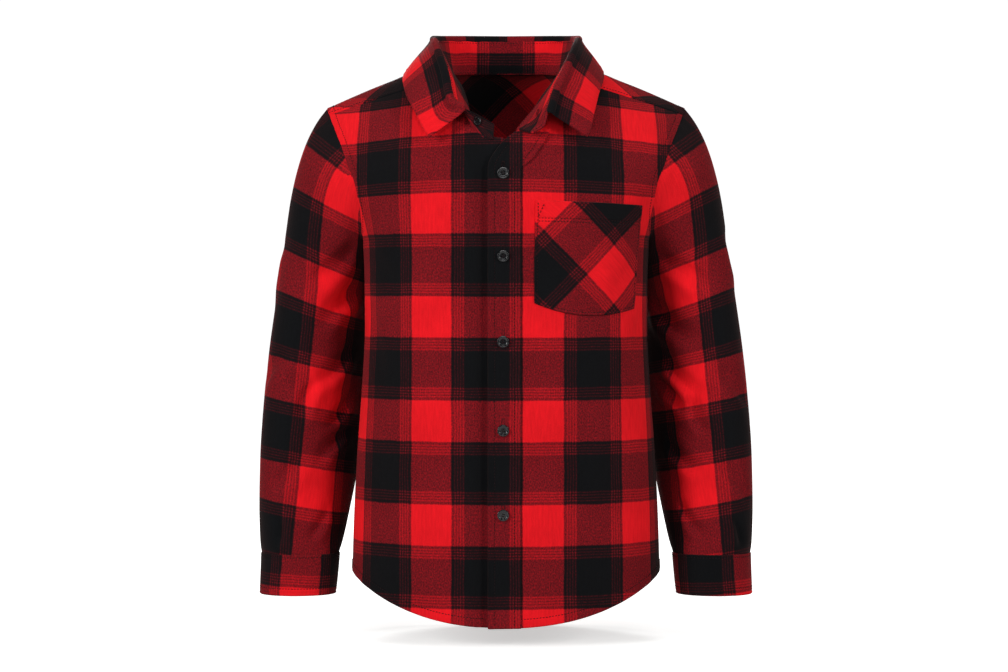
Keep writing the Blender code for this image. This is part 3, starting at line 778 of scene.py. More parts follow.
def backPanel():
    seam, fine = fronts["armholeStitch"], fronts["edgeStep"]
    places = spacedPlaces(np.abs(np.diff(back["z"])), back["step"], 3, fronts["hem"] + 5, fine)
    z, endZ = (tableAt(back, name, places)[:, None] for name in ("z", "sideZ"))
    shares = 1 - 2 * spacedPlaces([back["girth"]], back["step"], seam + 4, seam + 4, fine)[None, :]
    grid = bodyRow(0 * z, z, armholeX(endZ, "back"), endZ, shares, 0, hemBend(z), backFace)
    cloth = clothOnForm(grid[..., 0], grid[..., 2], backFace)
    distances = edgeDistances(grid)
    nearSide = nearest(distances, "start", "end")
    relief = creaseRelief(cloth[..., 0], cloth[..., 1], backCreases)
    relief *= smoothStep(nearSide / 14) * smoothStep(distances["bottom"] / 14) * smoothStep(distances["top"] / 8)
    relief += hemRelief(distances, cloth) + ripple(distances["top"], cloth[..., 0], 8, 0.2)
    relief += stitchedFold(nearSide, seam, seam, 0.3) * aboveUnderarm(grid)
    cloth = cloth - np.array((0, fronts["rowAt"]))       # a black stripe runs down the centre back
    return makeSheet("back", grid, cloth, fronts["wall"], relief, [("top", 4, 1.5)])


backSheet = backPanel()

band = {                    # buttonhole band: its near edge lies on the edge of the left front
    "nearX": (8.5, 2.9, -9.2) + (-16.8,) * 9,
    "nearZ": (-64, -68.5, -82, -99, -140, -190, -240, -300, -360, -420, -480, -539),
    "farX": (42, 34, 24) + (13.8,) * 9,
    "farZ": (-61, -77, -90.5, -101, -140, -190, -240, -300, -360, -420, -480, -538.5),
    "dip": (0,) * 12,
    "width": 30.6,
    "lift": 2.55,
    "wall": 1.9,
    "stitch": 6,            # in from each long edge
}
pocket = {                  # its two side edges, from the hem to the foot, and the dip of the rows at the foot
    "nearX": (28.5, 28.5, 28, 28, 27.5, 27.5, 27.5, 27.5),
    "nearZ": (-130, -143, -157, -171, -185, -199, -213, -227),
    "farX": (130.5, 129.5, 128.5, 127.3, 126, 125, 124, 122.8),
    "farZ": (-132.5, -146, -160.5, -175, -189.5, -204, -218.5, -232),
    "dip": (0, 0, 0, 0, 0, 1.5, 4.5, 9),
    "width": 102,
    "lift": 1.5,
    "wall": 1.8,
    "hem": 16,
    "secondRow": 3,         # from the hem's first row of stitches to its second
    "cornerRun": 9.5,       # the corner stitching starts this far along the mouth
    "cornerProud": 0.8,     # and stands clear of the mouth's hem
    "stitch": 2.2,
    "puff": 0.9,            # the mouth stands off the chest a little
    "crossingAt": (35.5, -200),     # where two black stripes cross, on the bias
}


def patchOnFront(table, lengths, steps, fine):
    # rows between a near and a far edge, laid on the left front; fine is how much is close-set at the top,
    # the bottom and each side
    places = spacedPlaces(lengths, steps[0], fine[0], fine[1])
    shares = spacedPlaces([table["width"]], steps[1], fine[2], fine[2])[None, :]
    nearX, nearZ, farX, farZ, dip = (tableAt(table, name, places)[:, None]
                                     for name in ("nearX", "nearZ", "farX", "farZ", "dip"))
    x = nearX + (farX - nearX) * shares
    z = nearZ + (farZ - nearZ) * shares - dip * 4 * shares * (1 - shares)
    grid = onForm(x, z, frontFace)
    cloth = clothOnForm(grid[..., 0], grid[..., 2], frontFace)
    creases = creaseRelief(cloth[..., 0], cloth[..., 1], frontCreases[leftSide])
    return grid, cloth, creases, edgeDistances(grid)


def placketBand():
    lengths = np.hypot(np.diff(band["nearX"]), np.diff(band["nearZ"]))
    grid, cloth, creases, distances = patchOnFront(band, lengths, (2.6, 1.1), (4, 12, 8))
    relief = 0.3 * creases
    for edge in ("start", "end"):
        relief += dent(distances[edge], band["stitch"], 0.6, 0.9)
        relief += ripple(distances[edge], cloth[..., 1], 6, 0.16)
    relief += stitchedFold(distances["bottom"], fronts["hem"] - 1, fronts["hem"], 0.4)
    relief += 0.7 * np.exp(-(distances["start"] / 2.2) ** 2)           # the rolled front edge
    cloth = cloth - np.array((fronts["stripeAt"][leftSide], fronts["rowAt"]))
    return makeSheet("placket_band", movedOut(grid, band["lift"]), cloth, band["wall"], relief)


def chestPocket():
    hem = pocket["hem"]
    lengths = np.abs(np.diff(pocket["nearZ"]))
    grid, cloth, creases, distances = patchOnFront(pocket, lengths, (1.5, 1.5), (hem + 3, 5, 5))
    sewnEdge = nearest(distances, "start", "end", "bottom")
    relief = 0.5 * creases + dent(distances["top"], hem, 0.75, 0.8) + fold(distances["top"], hem, 0.3)
    relief += dent(sewnEdge, pocket["stitch"], 0.75, 0.8) + ripple(sewnEdge, cloth[..., 0] + cloth[..., 1], 7, 0.2)
    mouth = smoothStep(1 - distances["top"] / 40) * smoothStep(sewnEdge / 30)
    relief += pocket["puff"] * (mouth + 0.4 * smoothStep(sewnEdge / 20))
    away = cloth - clothOnForm(*(np.array([v]) for v in pocket["crossingAt"]), frontFace)[0]
    bias = onBias(away[..., 0], away[..., 1])
    return makeSheet("pocket", movedOut(grid, pocket["lift"]), bias, pocket["wall"], relief)


bandSheet = placketBand()
pocketSheet = chestPocket()
print("body made")


# yoke

yoke = {
    "neckShare": 0.43,      # the stretch of its back seam that lies below the neck
    "lift": {"yoke_outer": 0.25, "yoke_inner": -2.6},
    "wall": 1.2,
    "stitch": 1.8,
    "crossingAt": {"yoke_outer": (45, -1), "yoke_inner": (0, -35)},     # of two black stripes, on the bias
    "neckRun": 57,          # from the ridge down to the back neck seam, over the cloth
    "across": 1.05,         # cloth to straight width
    "turnedEdge": (3, 0.45),        # how wide and how high where it lies over the front and the back
    "neckReach": 56,        # this far from the middle its front edge is the neck and isn't turned under
}


def neckSeam(side, place):
    # the neck seam on the body: place 0 is the front end and 1 the centre back
    x, y, z = (tableAt(neck[side], name, place) for name in ("baseX", "baseY", "baseZ"))
    onFront = y < neck[side]["baseY"][neck["shoulderSeamRow"]]
    return np.where(onFront[..., None], onForm(x, z, frontFace), overShoulder(x, turnAtDepth(x, y)))


def yokeGrid():
    row = neck["shoulderSeamRow"]
    neckX, neckZ = neck[leftSide]["baseX"][row], neck[leftSide]["baseZ"][row]
    armZ = fronts["sideZ"][0]
    shares = np.linspace(1, 0, 44)[:-1]
    seam = bodyRow(neckX, neckZ, armholeX(armZ, "front"), armZ, shares, fronts["sag"][0], 0, frontFace)
    topX = list(seam[:, 0])
    topTurn = list(turnAtHeight(seam[:, 0], seam[:, 2], frontFace))
    backShare = list(yoke["neckShare"] + (1 - yoke["neckShare"]) * shares)
    start = row / (len(neck[leftSide]["baseX"]) - 1)
    along = np.linspace(0, 1, 30)
    points = neckSeam(leftSide, start + (1 - start) * along)
    turns = turnAtDepth(points[:, 0], points[:, 1])
    turns[0] = turnAtHeight(points[0, 0], points[0, 2], frontFace)
    topX += list(points[:, 0])
    topTurn += list(turns)
    backShare += list(yoke["neckShare"] * (1 - along))
    topX, topTurn, backShare = (np.array(v)[None, :] for v in (topX, topTurn, backShare))
    # below it runs the back panel's top edge
    endZ = back["sideZ"][0]
    foot = bodyRow(0, back["z"][0], armholeX(endZ, "back"), endZ, backShare, 0, 0, backFace)
    footTurn = turnAtHeight(foot[..., 0], foot[..., 2], backFace)
    q = spacedPlaces([110], 3.0, 5, 5)[:, None]
    turn = footTurn + (topTurn - footTurn) * q
    x = foot[..., 0] + (topX - foot[..., 0]) * q
    atArm = overShoulder(x[:, 0], turn[:, 0])[:, 2]
    x[:, 0] = np.where(turn[:, 0] < 0, armholeX(atArm, "front"), armholeX(atArm, "back"))
    half = overShoulder(x, turn)
    steps = np.linspace(0, 1, 17).reshape(-1, 1, 1)
    down = -np.sign(turn) * pathLength(overShoulder(x + 0 * steps, turn * steps))
    cloth = np.stack((x * yoke["across"], down), axis=-1)
    mirror = half * (-1, 1, 1)
    grid = np.concatenate((mirror, half[:, -2::-1]), axis=1)
    cloth = np.concatenate((cloth * (-1, 1), cloth[:, -2::-1]), axis=1)
    return grid, cloth


def yokeSheet(name, across, up, relief=0.0, tucks=()):
    cloth = onBias(across, up) - yoke["crossingAt"][name]
    return makeSheet(name, movedOut(yokeForm, yoke["lift"][name]), cloth, yoke["wall"], relief, tucks)


def outerYoke(across, up):
    distances = edgeDistances(yokeForm)
    seamX = neck[leftSide]["baseX"][neck["shoulderSeamRow"]]
    seam = np.minimum(distances["top"], distances["bottom"] + 100 * (np.abs(across) < yoke["neckReach"]))
    toArm = nearest(distances, "start", "end")
    relief = dent(seam, yoke["stitch"], 0.35, 0.8) + ripple(seam, across, 7, 0.2)
    relief += stitchedFold(toArm, fronts["armholeStitch"], fronts["armholeStitch"], 0.3)
    relief += fold(seam, *yoke["turnedEdge"])
    atNeck = np.abs(yokeForm[-1, :, 0]) < seamX + 1
    tucks = [("bottom", np.where(atNeck, 0.05, 1.2), 0.2), ("top", 1.2, 0.2)]
    return yokeSheet("yoke_outer", across, up, relief, tucks)


yokeForm, yokeCloth = yokeGrid()
yokeOuter = outerYoke(yokeCloth[..., 0], yokeCloth[..., 1])
yokeSheet("yoke_inner", yokeCloth[..., 0], -yokeCloth[..., 1] - yoke["neckRun"])
print("yoke made")


# collar

collar = {
    "standBelow": 3,        # the stand's foot reaches this far below the neck seam
    "standWall": 2.0,
    "standStitch": 1.6,
    # the fall's lower edge, from its point to the centre back
    "edgeX": {leftSide: (77.5, 80.5, 85, 90.5, 96, 97, 84, 46, 0),
              rightSide: (73.5, 78, 87, 97.5, 101.5, 101, 86, 46, 0)},
    "edgeY": {leftSide: (-97, -93, -81, -60, -29, 10, 47, 74, 80),
              rightSide: (-97, -93, -80, -58, -29, 10, 47, 74, 80)},
    "edgeZ": {leftSide: (-67, -61, -43, -21, -4, 6, 2, -4, -6),
              rightSide: (-67.5, -61, -43, -22, -5, 4, 2, -4, -6)},
    "fallStart": 0.21,      # where the fall begins, as a share of the way from front end to centre back
    "fallBelow": 1.5,       # its lower edge laps over the stand
    "rollHeight": 5.5,      # of the fold, over the top of the stand
    "rollWidth": 5.5,
    "bulge": 2,             # how far the leaf rounds outwards between the fold and its edge
    "fallWall": 2.2,
    "edgeStitch": 5.5,
    "rollSpan": 22,         # along each front edge the stitching starts this far from the fold
    # the check along the roll, from the centre back towards the wearer's left, as it lies and as it was cut
    "rollAt": (-260, -197, -97, -20, 53, 160, 260, 270),
    "rollCut": (-263, -200, -100, 0, 100, 200, 300, 310),
    "rollBlack": 8,         # a black stripe runs this far inside the roll
    "standBlack": 8,        # and this far below the stand's foot
    "standSlip": (50, 100), # the stand's check slips by half a repeat from here outwards, over this length
}


def standLines(side, places):
    # lower edge, upper edge and the directions up and outwards along one half of the stand
    base = neckSeam(side, places)

    def topAt(at):
        at = np.clip(at, 0, 1)
        return np.stack([tableAt(neck[side], name, at) for name in ("topX", "topY", "topZ")], axis=-1)

    top = topAt(places)
    up = unit(top - base)
    return base, top, up, unit(np.cross(topAt(places + 0.02) - topAt(places - 0.02), up))


def bothHalves(halves):
    # the wearer's right half turned over to its own side, then the left, with one shared line at the back
    return np.concatenate((halves[0] * (-1, 1, 1), halves[1][:, -2::-1]), axis=1)


def collarStand():
    halves, halfColumns = [], 105
    shares = spacedPlaces([30], 1.5, 3, 3)[:, None, None]
    for side in (rightSide, leftSide):
        base, top, up = standLines(side, np.linspace(0, 1, halfColumns))[:3]
        foot = base - up * collar["standBelow"]
        halves.append(foot + (top - foot) * shares)
    grid = bothHalves(halves)
    distances = edgeDistances(grid)
    along = distances["start"] - distances["start"][:, halfColumns - 1:halfColumns]
    height = distances["bottom"] if grid[0, 0, 2] > grid[-1, 0, 2] else distances["top"]
    reach = np.abs(along)
    slipFrom, slipOver = collar["standSlip"]
    cut = reach + check["repeat"] / 2 * smoothStep((reach - slipFrom) / slipOver)
    cloth = np.stack((np.sign(along) * cut, height + collar["standBlack"]), axis=-1)
    nearEdge = nearest(distances, "start", "end", "top", "bottom")
    relief = dent(nearEdge, collar["standStitch"], 0.4, 0.8) + ripple(nearEdge, along, 5, 0.18)
    return makeSheet("collar_stand", grid, cloth, collar["standWall"], relief)


def collarFall():
    halves, riseRows, rollRows, smoothing = [], 3, 10, 18
    radius = collar["rollWidth"] / 2
    crown = collar["rollHeight"] - radius
    heights = np.linspace(-collar["fallBelow"], crown, riseRows + 1)[:-1, None, None]
    angle = np.linspace(0, math.pi, rollRows)[:, None, None]
    t = np.linspace(0, 1, 34)[1:, None, None]
    for side in (rightSide, leftSide):
        places = spacedPlaces([205], 1.9, 8, 0)
        top, up, out = standLines(side, collar["fallStart"] + (1 - collar["fallStart"]) * places)[1:]
        edge = np.stack([curveThrough(range(9), collar[name][side], places * 8)
                         for name in ("edgeX", "edgeY", "edgeZ")], axis=-1)
        rise = top + up * heights + out * 0.3 * (1 - (heights + collar["fallBelow"]) / 5)
        roll = top + up * (crown + radius * np.sin(angle)) + out * radius * (1 - np.cos(angle))
        turn = roll[-1]
        first = turn - up * 2.5 + (edge - turn) * 0.12
        middle = (turn + edge) / 2 + out * collar["bulge"] * 1.5
        down = (1 - t) ** 3 * turn + 3 * t * (1 - t) ** 2 * first + 3 * t * t * (1 - t) * middle + t ** 3 * edge
        halves.append(np.concatenate((rise, roll, down)))
    grid = bothHalves(halves)
    distances = edgeDistances(grid)
    rollRow = riseRows + rollRows // 2      # the top of the roll
    middle = halves[0].shape[1] - 1
    along = distances["start"][rollRow] - distances["start"][rollRow, middle]
    cut = np.interp(along, collar["rollAt"], collar["rollCut"])
    across = distances["top"] - distances["top"][rollRow]
    # the roll's own direction, evened out along it
    spread = np.pad(unit(np.gradient(grid[rollRow], axis=0)), ((smoothing, smoothing), (0, 0)), mode="edge")
    window = np.ones(2 * smoothing + 1) / (2 * smoothing + 1)
    rollWay = unit(np.stack([np.convolve(spread[:, k], window, mode="valid") for k in range(3)], axis=1))
    slant = ((grid - grid[rollRow]) * rollWay).sum(axis=-1) * (across > 0)
    cloth = np.stack((cut + slant, np.sign(across) * np.sqrt(np.maximum(across ** 2 - slant ** 2, 0))
                      + collar["rollBlack"]), axis=-1)
    nearEdge = np.where(across > 3, nearest(distances, "start", "end", "bottom"), 99)
    relief = dent(nearEdge, collar["edgeStitch"], 0.6, 0.9) + ripple(nearEdge, along[None, :], 6, 0.2)
    relief += fold(nearEdge, collar["edgeStitch"], 0.2) + dent(distances["top"], 1.0, 0.3, 0.8)
    return makeSheet("collar_fall", grid, cloth, collar["fallWall"], relief)


standSheet = collarStand()
fallSheet = collarFall()
print("collar made")


# sleeves and cuffs, made for the wearer's left arm and turned over for the right

sleeve = {                  # rings from the shoulder to the cuff
    # outermost and innermost point of each ring, and its reach to the front and the back
    "outX": (178, 187, 198, 207, 214.5, 220.5, 227.5, 236, 241, 245, 246, 245, 243),
    "outZ": (-32, -43.5, -64, -90, -123, -165, -213, -273, -320, -378, -429, -462, -476.6),
    "inX":  (142.3, 143, 141.4, 140.2, 139.8, 139.6, 140.6, 142.5, 145.2, 149.9, 157.5, 164, 168),
    "inZ":  (-165, -171, -182, -198, -218, -244, -274, -311, -345, -385, -429, -462, -476.6),
    "front": (60, 62, 62, 60, 57, 54, 51, 48, 46.5, 45, 43, 40, 35),
    "back":  (50, 54, 56, 56, 55, 53, 49, 44, 41, 38, 35, 32, 28),
    # how far its inner side swings back against the body, and how much it keeps of the armhole's shape
    "turnedBack": (0, 10, 22, 34, 44, 50, 51, 49, 46, 40, 26, 10, 0),
    "seam":  (1, 0.85, 0.6, 0.35, 0.15, 0, 0, 0, 0, 0, 0, 0, 0),
}
sleeveLook = {
    "wall": 1.2,
    "rings": 158,           # points along it and round it
    "columns": 120,
    # scale and shift of the row hidden in the armhole and of the row in the seam, and how far the last row
    # draws in and goes down under the cuff
    "hiddenRow": ((1, 0.96, 1), (-3.6, 0, -1.2)),
    "seamRow": ((1, 0.992, 1), (-0.5, 0, -0.3)),
    "underCuff": (0.04, 4),
    "creaseDepth": 2.6,
    "blackLine": 38,        # a black stripe runs this far outwards of the front line
    "blackRow": {leftSide: 20.9, rightSide: 18.5},      # and another crosses it this far above the cuff
    "capRun": 0.68,         # cloth to height, above the front of the armhole
    # how steeply the cloth's rows rise outwards, by height
    "rowZ": (-480, -430, -350, -290, -240, -190, -142, -90, -32),
    "lineShift": (0, 0, 0, 0, 0, 0, 3, 11, 24),      # the stripes run further out over the shoulder
    "rowSlope": (0.12, 0.2, 0.2, 0.24, 0.32, 0.4, 0.46, 0.5, 0.5),
}

# sleeve creases: (outwards of the front line, up from the cuff) to the same, width, depth, bow
sleeveCreases = {
    leftSide: [
        (-8, 168, 6, 118, 5.5, 2.6, 5),
        (-44, 205, 8, 158, 7, 2.6, 4),
        (-58, 176, -10, 138, 6, 2.2, -4),
        (-60, 262, 12, 215, 9, 3.0, 6),
        (-40, 300, 26, 262, 8, 2.0, -5),
        (20, 196, 62, 150, 8, 1.7, 5),
        (-52, 120, 0, 84, 7, 1.8, 4),
        (8, 96, 44, 52, 7, 1.4, -4),
        (-36, 60, -6, 18, 5, 1.5, 3),
        (22, 44, 30, 6, 5, 1.4, -2),
        (60, 330, 84, 268, 10, 1.6, 6),
        (100, 250, 150, 196, 9, 2.2, 6),
        (90, 150, 148, 176, 8, 2.4, -5),
        (120, 140, 190, 168, 8, 2.6, 4),
        (110, 96, 176, 62, 9, 1.8, -5),
        (150, 290, 205, 232, 9, 2.4, 5),
        (92, 46, 110, 8, 6, 1.6, 3),
        (140, 50, 134, 8, 5, 1.6, -3),
    ],
    rightSide: [
        (-4, 178, 10, 130, 6, 2.2, -4),
        (-50, 214, 2, 172, 7, 2.4, 5),
        (-56, 166, -12, 126, 6, 2.3, 4),
        (-58, 270, 4, 228, 9, 2.8, -6),
        (-34, 316, 20, 270, 9, 2.1, 5),
        (16, 206, 66, 168, 9, 1.6, -5),
        (-54, 128, -8, 92, 7, 2.0, -4),
        (0, 104, 42, 66, 8, 1.5, 4),
        (-30, 52, -8, 14, 5, 1.4, 2),
        (26, 50, 20, 8, 5, 1.3, 3),
        (64, 318, 86, 250, 10, 1.5, -6),
        (98, 262, 152, 214, 9, 2.3, -6),
        (94, 142, 152, 170, 8, 2.3, 5),
        (124, 150, 186, 180, 8, 2.5, -4),
        (104, 88, 170, 58, 9, 1.9, 5),
        (156, 280, 200, 226, 9, 2.2, -5),
        (96, 52, 104, 10, 6, 1.5, -3),
        (146, 44, 150, 6, 5, 1.6, 3),
    ],
}

cuff = {
    "outX": (243.9, 244.6, 245.4),
    "outZ": (-475.6, -496, -515),
    "inX":  (166.7, 168.6, 170.6),
    "inZ":  (-475.6, -496, -515),
    "front": (36.1, 35, 34),
    "back":  (29.1, 28.5, 28),
    "girth": 250,
    "depth": 40,
    "startsAt": 62,         # degrees round from the outside to the back
    "lap": 30,              # the ends lap by this much
    "step": 1.9,            # mm that the under end lies further in
    "wall": 1.7,
    "stitch": 2.2,
    "hem": 5,
    # where a black stripe runs down it, outwards of the front line, and the level of a black stripe round it
    "stripeAt": {leftSide: -11, rightSide: 46},
    "rowAt": {leftSide: -484, rightSide: -477},
    "rowTilt": (0.05, 206),         # how steeply the rows rise outwards, and from where
}


def ringPoints(table, places, angles):
    # rings by place along the arm, and angles round from the outside to the back
    outX, outZ, inX, inZ, front, rear = (tableAt(table, name, places)[:, None]
                                         for name in ("outX", "outZ", "inX", "inZ", "front", "back"))
    outward = (1 + np.cos(angles)) / 2
    depth = np.sin(angles) * np.where(np.sin(angles) > 0, rear, front)
    if "turnedBack" in table:
        depth = depth + tableAt(table, "turnedBack", places)[:, None] * (1 - outward) ** 1.25
    return np.stack((inX + (outX - inX) * outward, depth + 0 * outX, inZ + (outZ - inZ) * outward), axis=-1)


def armholePoints(angles):
    topZ, lowZ = torso["shoulderPoint"][1], torso["underarm"][1]
    z = topZ + (lowZ - topZ) * (1 - np.cos(angles)) / 2
    inFront = onForm(armholeX(z, "front"), z, frontFace)
    behind = onForm(armholeX(z, "back"), z, backFace)
    return np.where((np.sin(angles) > 0)[:, None], behind, inFront)


def makeSleeve(side):
    count = sleeveLook["columns"]
    angles = math.pi + np.arange(count) * 2 * math.pi / count
    armLength = 500
    places = spacedPlaces([armLength], armLength / sleeveLook["rings"], 6, 8, 1.4)
    seam = tableAt(sleeve, "seam", places)[:, None, None]
    armholeRing = armholePoints(angles)
    grid = ringPoints(sleeve, places, angles)
    grid += seam * (armholeRing - ringPoints(sleeve, np.zeros(1), angles)[0])
    scale, shift = sleeveLook["hiddenRow"]
    hidden = armholeRing * scale + shift
    drawnIn, below = sleeveLook["underCuff"]
    last = grid[-1:]
    under = last + (last.mean(axis=1, keepdims=True) - last) * (drawnIn, drawnIn, 0) + (0, 0, -below)
    scale, shift = sleeveLook["seamRow"]
    grid[0] = grid[0] * scale + shift
    grid = np.concatenate((hidden[None], grid, under))

    centres = grid.mean(axis=1)
    axis = unit(np.gradient(centres, axis=0))[:, None, :]
    flat = grid - (grid * axis).sum(axis=-1, keepdims=True) * axis
    loop = np.concatenate((flat, flat[:, :1]), axis=1)
    around = edgeDistances(loop)["start"]
    frontColumn = count // 4        # the columns start at the inner side and go round by the front
    around -= around[:, frontColumn:frontColumn + 1]
    frontLine = grid[:, frontColumn]
    lengthUp = runAlong(frontLine)
    lengthUp = lengthUp[-2] - lengthUp
    ringAt = np.concatenate((grid, grid[:, :1]), axis=1)
    z = ringAt[..., 2]
    up = np.interp(z, frontLine[::-1, 2], lengthUp[::-1])
    up += sleeveLook["capRun"] * np.maximum(z - frontLine[0, 2], 0)
    lineX = np.interp(z, frontLine[::-1, 2], frontLine[::-1, 0])
    rise = np.interp(z, sleeveLook["rowZ"], sleeveLook["rowSlope"]) * (ringAt[..., 0] - lineX)
    shift = np.interp(z, sleeveLook["rowZ"], sleeveLook["lineShift"])
    cloth = np.stack((around - sleeveLook["blackLine"] - shift, up - rise - sleeveLook["blackRow"][side]), axis=-1)

    across = around[:, :-1]
    lengths = np.broadcast_to(up[:, :-1], across.shape)
    relief = sleeveLook["creaseDepth"] * creaseRelief(across, lengths, sleeveCreases[side])
    wrapped = creaseRelief(across - around[:, -1:] + around[:, :1], lengths, sleeveCreases[side])
    relief = relief + sleeveLook["creaseDepth"] * np.where(np.abs(across) > 150, wrapped, 0)
    fromSeam = edgeDistances(grid)["top"]
    fromCuff = fromSeam[-1] - fromSeam
    relief *= smoothStep((fromSeam - 8) / 30) * smoothStep((fromCuff - 4) / 10)
    relief += ripple(np.abs(fromSeam - 4), across, 9, 0.35) + ripple(np.abs(fromCuff - 4), across, 10, 0.5)
    grid, cloth, relief = forSide(side, grid, cloth, relief)
    return makeSheet(named("sleeve", side), grid, cloth, sleeveLook["wall"], relief, closed=True)


def makeCuff(side):
    turn = 360 + cuff["lap"]
    shares = spacedPlaces([cuff["girth"]], 1.9, 5, 5)
    angles = np.radians(cuff["startsAt"] - cuff["lap"] + shares * turn)
    places = spacedPlaces([cuff["depth"]], 1.6, 5, 8)
    grid = ringPoints(cuff, places, angles)
    lap = cuff["lap"] / turn
    lift = -cuff["step"] * smoothStep((lap * 1.6 - shares) / (lap * 0.5))
    grid = movedOut(grid, lift[None, :])
    distances = edgeDistances(grid)
    front = (270 - cuff["startsAt"] + cuff["lap"]) / turn
    around = distances["start"] - np.array([np.interp(front, shares, row) for row in distances["start"]])[:, None]
    rise, fromX = cuff["rowTilt"]
    rows = grid[..., 2] - cuff["rowAt"][side] - rise * (grid[..., 0] - fromX)
    cloth = np.stack((around - cuff["stripeAt"][side], rows), axis=-1)
    nearEdge = nearest(distances, "top", "bottom", "end")
    relief = dent(nearEdge, cuff["stitch"], 0.4, 0.8) + dent(distances["bottom"], cuff["hem"] + 1.5, 0.35, 0.9)
    relief += ripple(nearEdge, around, 7, 0.22)
    grid, cloth, relief = forSide(side, grid, cloth, relief)
    return makeSheet(named("cuff", side), grid, cloth, cuff["wall"], relief)


for side in (leftSide, rightSide):
    makeSleeve(side)
cuffs = {side: makeCuff(side) for side in (leftSide, rightSide)}
print("sleeves and cuffs made")


# stitches and buttonholes

stitch = {
    "pitch": 3.0,           # mm from one stitch to the next
    "length": 2.5,
    "width": 1.0,           # real thread is 0.4; coarser here, so that it shows
    "proud": 0.1,           # how far it stands out of the nap
}
hole = {
    "length": 13,
    "above": 4.5,           # its middle lies this far above the button's
    "barAt": 1.15,          # bars of satin stitch, each side of the slit
    "barWidth": 1.7,
    "pitch": 0.75,
}
buttons = {
    "x": -2.8,              # their line on the band, and their levels
    "heights": (-103, -182.6, -264.5, -349.5, -430.5),
    "radius": 5.6,
    "thickness": 2.1,
    "rim": 1.6,             # raised rim round the sunken middle
    "slope": 0.5,           # from the rim down into the middle
    "well": 0.6,
    "wellRing": 0.7,
    "bevel": 0.78,
    "sharpFrom": 32,        # degrees: an edge steeper than this stays sharp
    "holeAt": 1.35,         # holes, out from the middle
    "holeRadius": 0.55,
    "offCloth": 0.5,        # the thread shank lifts it this far
    "smallShare": 0.8,      # the collar's button
    "onStand": (0.15, 0.55),    # how far round the stand from its right end, and how far up it
    "holeOnStand": (0.17, 0.45),
}


def grains(centres, along, normals, length, width, height):
    # one small pointed grain of thread at each centre, as an eight-sided lozenge
    ahead, over, up = along * length / 2, unit(np.cross(along, normals)) * width / 2, normals * height
    corners = np.stack([centres + way for way in (-ahead, over, ahead, -over, up, -up)], axis=1)
    faces = np.array([(0, 1, 4), (1, 2, 4), (2, 3, 4), (3, 0, 4), (1, 0, 5), (2, 1, 5), (3, 2, 5), (0, 3, 5)])
    return corners, faces


def makeThreadwork(name, parts):
    points = np.concatenate([corners.reshape(-1, 3) for corners, faces in parts]) / 1000
    allFaces, base = [], 0
    for corners, faces in parts:
        starts = base + np.arange(len(corners)) * corners.shape[1]
        allFaces.append((faces[None] + starts[:, None, None]).reshape(-1, 3))
        base += corners.shape[0] * corners.shape[1]
    mesh = bpy.data.meshes.new(name)
    mesh.from_pydata(points.tolist(), [], np.concatenate(allFaces).tolist())
    mesh.shade_smooth()
    mesh.materials.append(thread)
    piece = addToScene(name, mesh)
    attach(piece, "root")


def stitchRow(line):
    points, normals = line
    along = runAlong(points)
    count = int(along[-1] / stitch["pitch"])
    spots = (np.arange(count) + 0.5) * along[-1] / max(count, 1)
    at, ways = pickAlong(spots, along, points), pickAlong(spots, along, normals)
    run = pickAlong(spots + 0.4, along, points) - at
    keep = np.linalg.norm(run, axis=1) > 1e-6
    at, run, ways = at[keep], unit(run[keep]), unit(ways[keep])
    ways = unit(ways - (ways * run).sum(axis=1, keepdims=True) * run)
    return grains(at + ways * stitch["proud"], run, ways, stitch["length"], stitch["width"], stitch["width"] * 0.6)


def linesIn(sheet, edges, distance):
    return [lineInside(sheet, edge, distance) for edge in edges]


def armholeLines():
    lines = []
    for sheet, edges in ((frontLeft, ["end"]), (frontRight, ["start"]), (backSheet, ["start", "end"])):
        for points, normals in linesIn(sheet, edges, fronts["armholeStitch"]):
            keep = points[:, 2] > torso["underarm"][1]
            lines.append((points[keep], normals[keep]))
    return lines + linesIn(yokeOuter, ["start", "end"], fronts["armholeStitch"])


def yokeSeamLines():
    lines = [cutShort(lineInside(yokeOuter, "top", yoke["stitch"]), 3, -3)]
    points, normals = lineInside(yokeOuter, "bottom", yoke["stitch"])
    for side in (leftSide, rightSide):
        keep = points[:, 0] * side > neck[side]["baseX"][neck["shoulderSeamRow"]]
        lines.append((points[keep], normals[keep]))
    return lines


def pocketLines():
    # round its three sewn edges, across under the hem of the mouth, and a small corner at the near end
    s = pocket["stitch"]
    lines = [cutShort(line, 1, -s) for line in linesIn(pocketSheet, ("start", "bottom", "end"), s)]
    for down in (pocket["hem"], pocket["hem"] + pocket["secondRow"]):
        lines.append(cutShort(lineInside(pocketSheet, "top", down), s, -s))
    mouth, side = lineInside(pocketSheet, "top", s)[0], lineInside(pocketSheet, "start", s)[0]
    corner = [line[np.searchsorted(runAlong(line)[1:], reach)]
              for line, reach in ((mouth, pocket["cornerRun"]), (side, pocket["hem"]))]
    steps = np.linspace(0, 1, 8)[:, None]
    diagonal = corner[0] * (1 - steps) + corner[1] * steps
    outwards = np.broadcast_to(pocketSheet["normals"][4, 4], diagonal.shape).copy()
    lines.append((diagonal + outwards * pocket["cornerProud"], outwards))
    return lines


def collarLines():
    s = collar["edgeStitch"]
    lines = [cutShort(line, collar["rollSpan"], -s) for line in linesIn(fallSheet, ("start", "end"), s)]
    lines.append(cutShort(lineInside(fallSheet, "bottom", s), s, -s))
    for inside in (False, True):
        for edge in ("top", "bottom"):
            lines.append(cutShort(lineInside(standSheet, edge, collar["standStitch"], inside), 2, -2))
    return lines


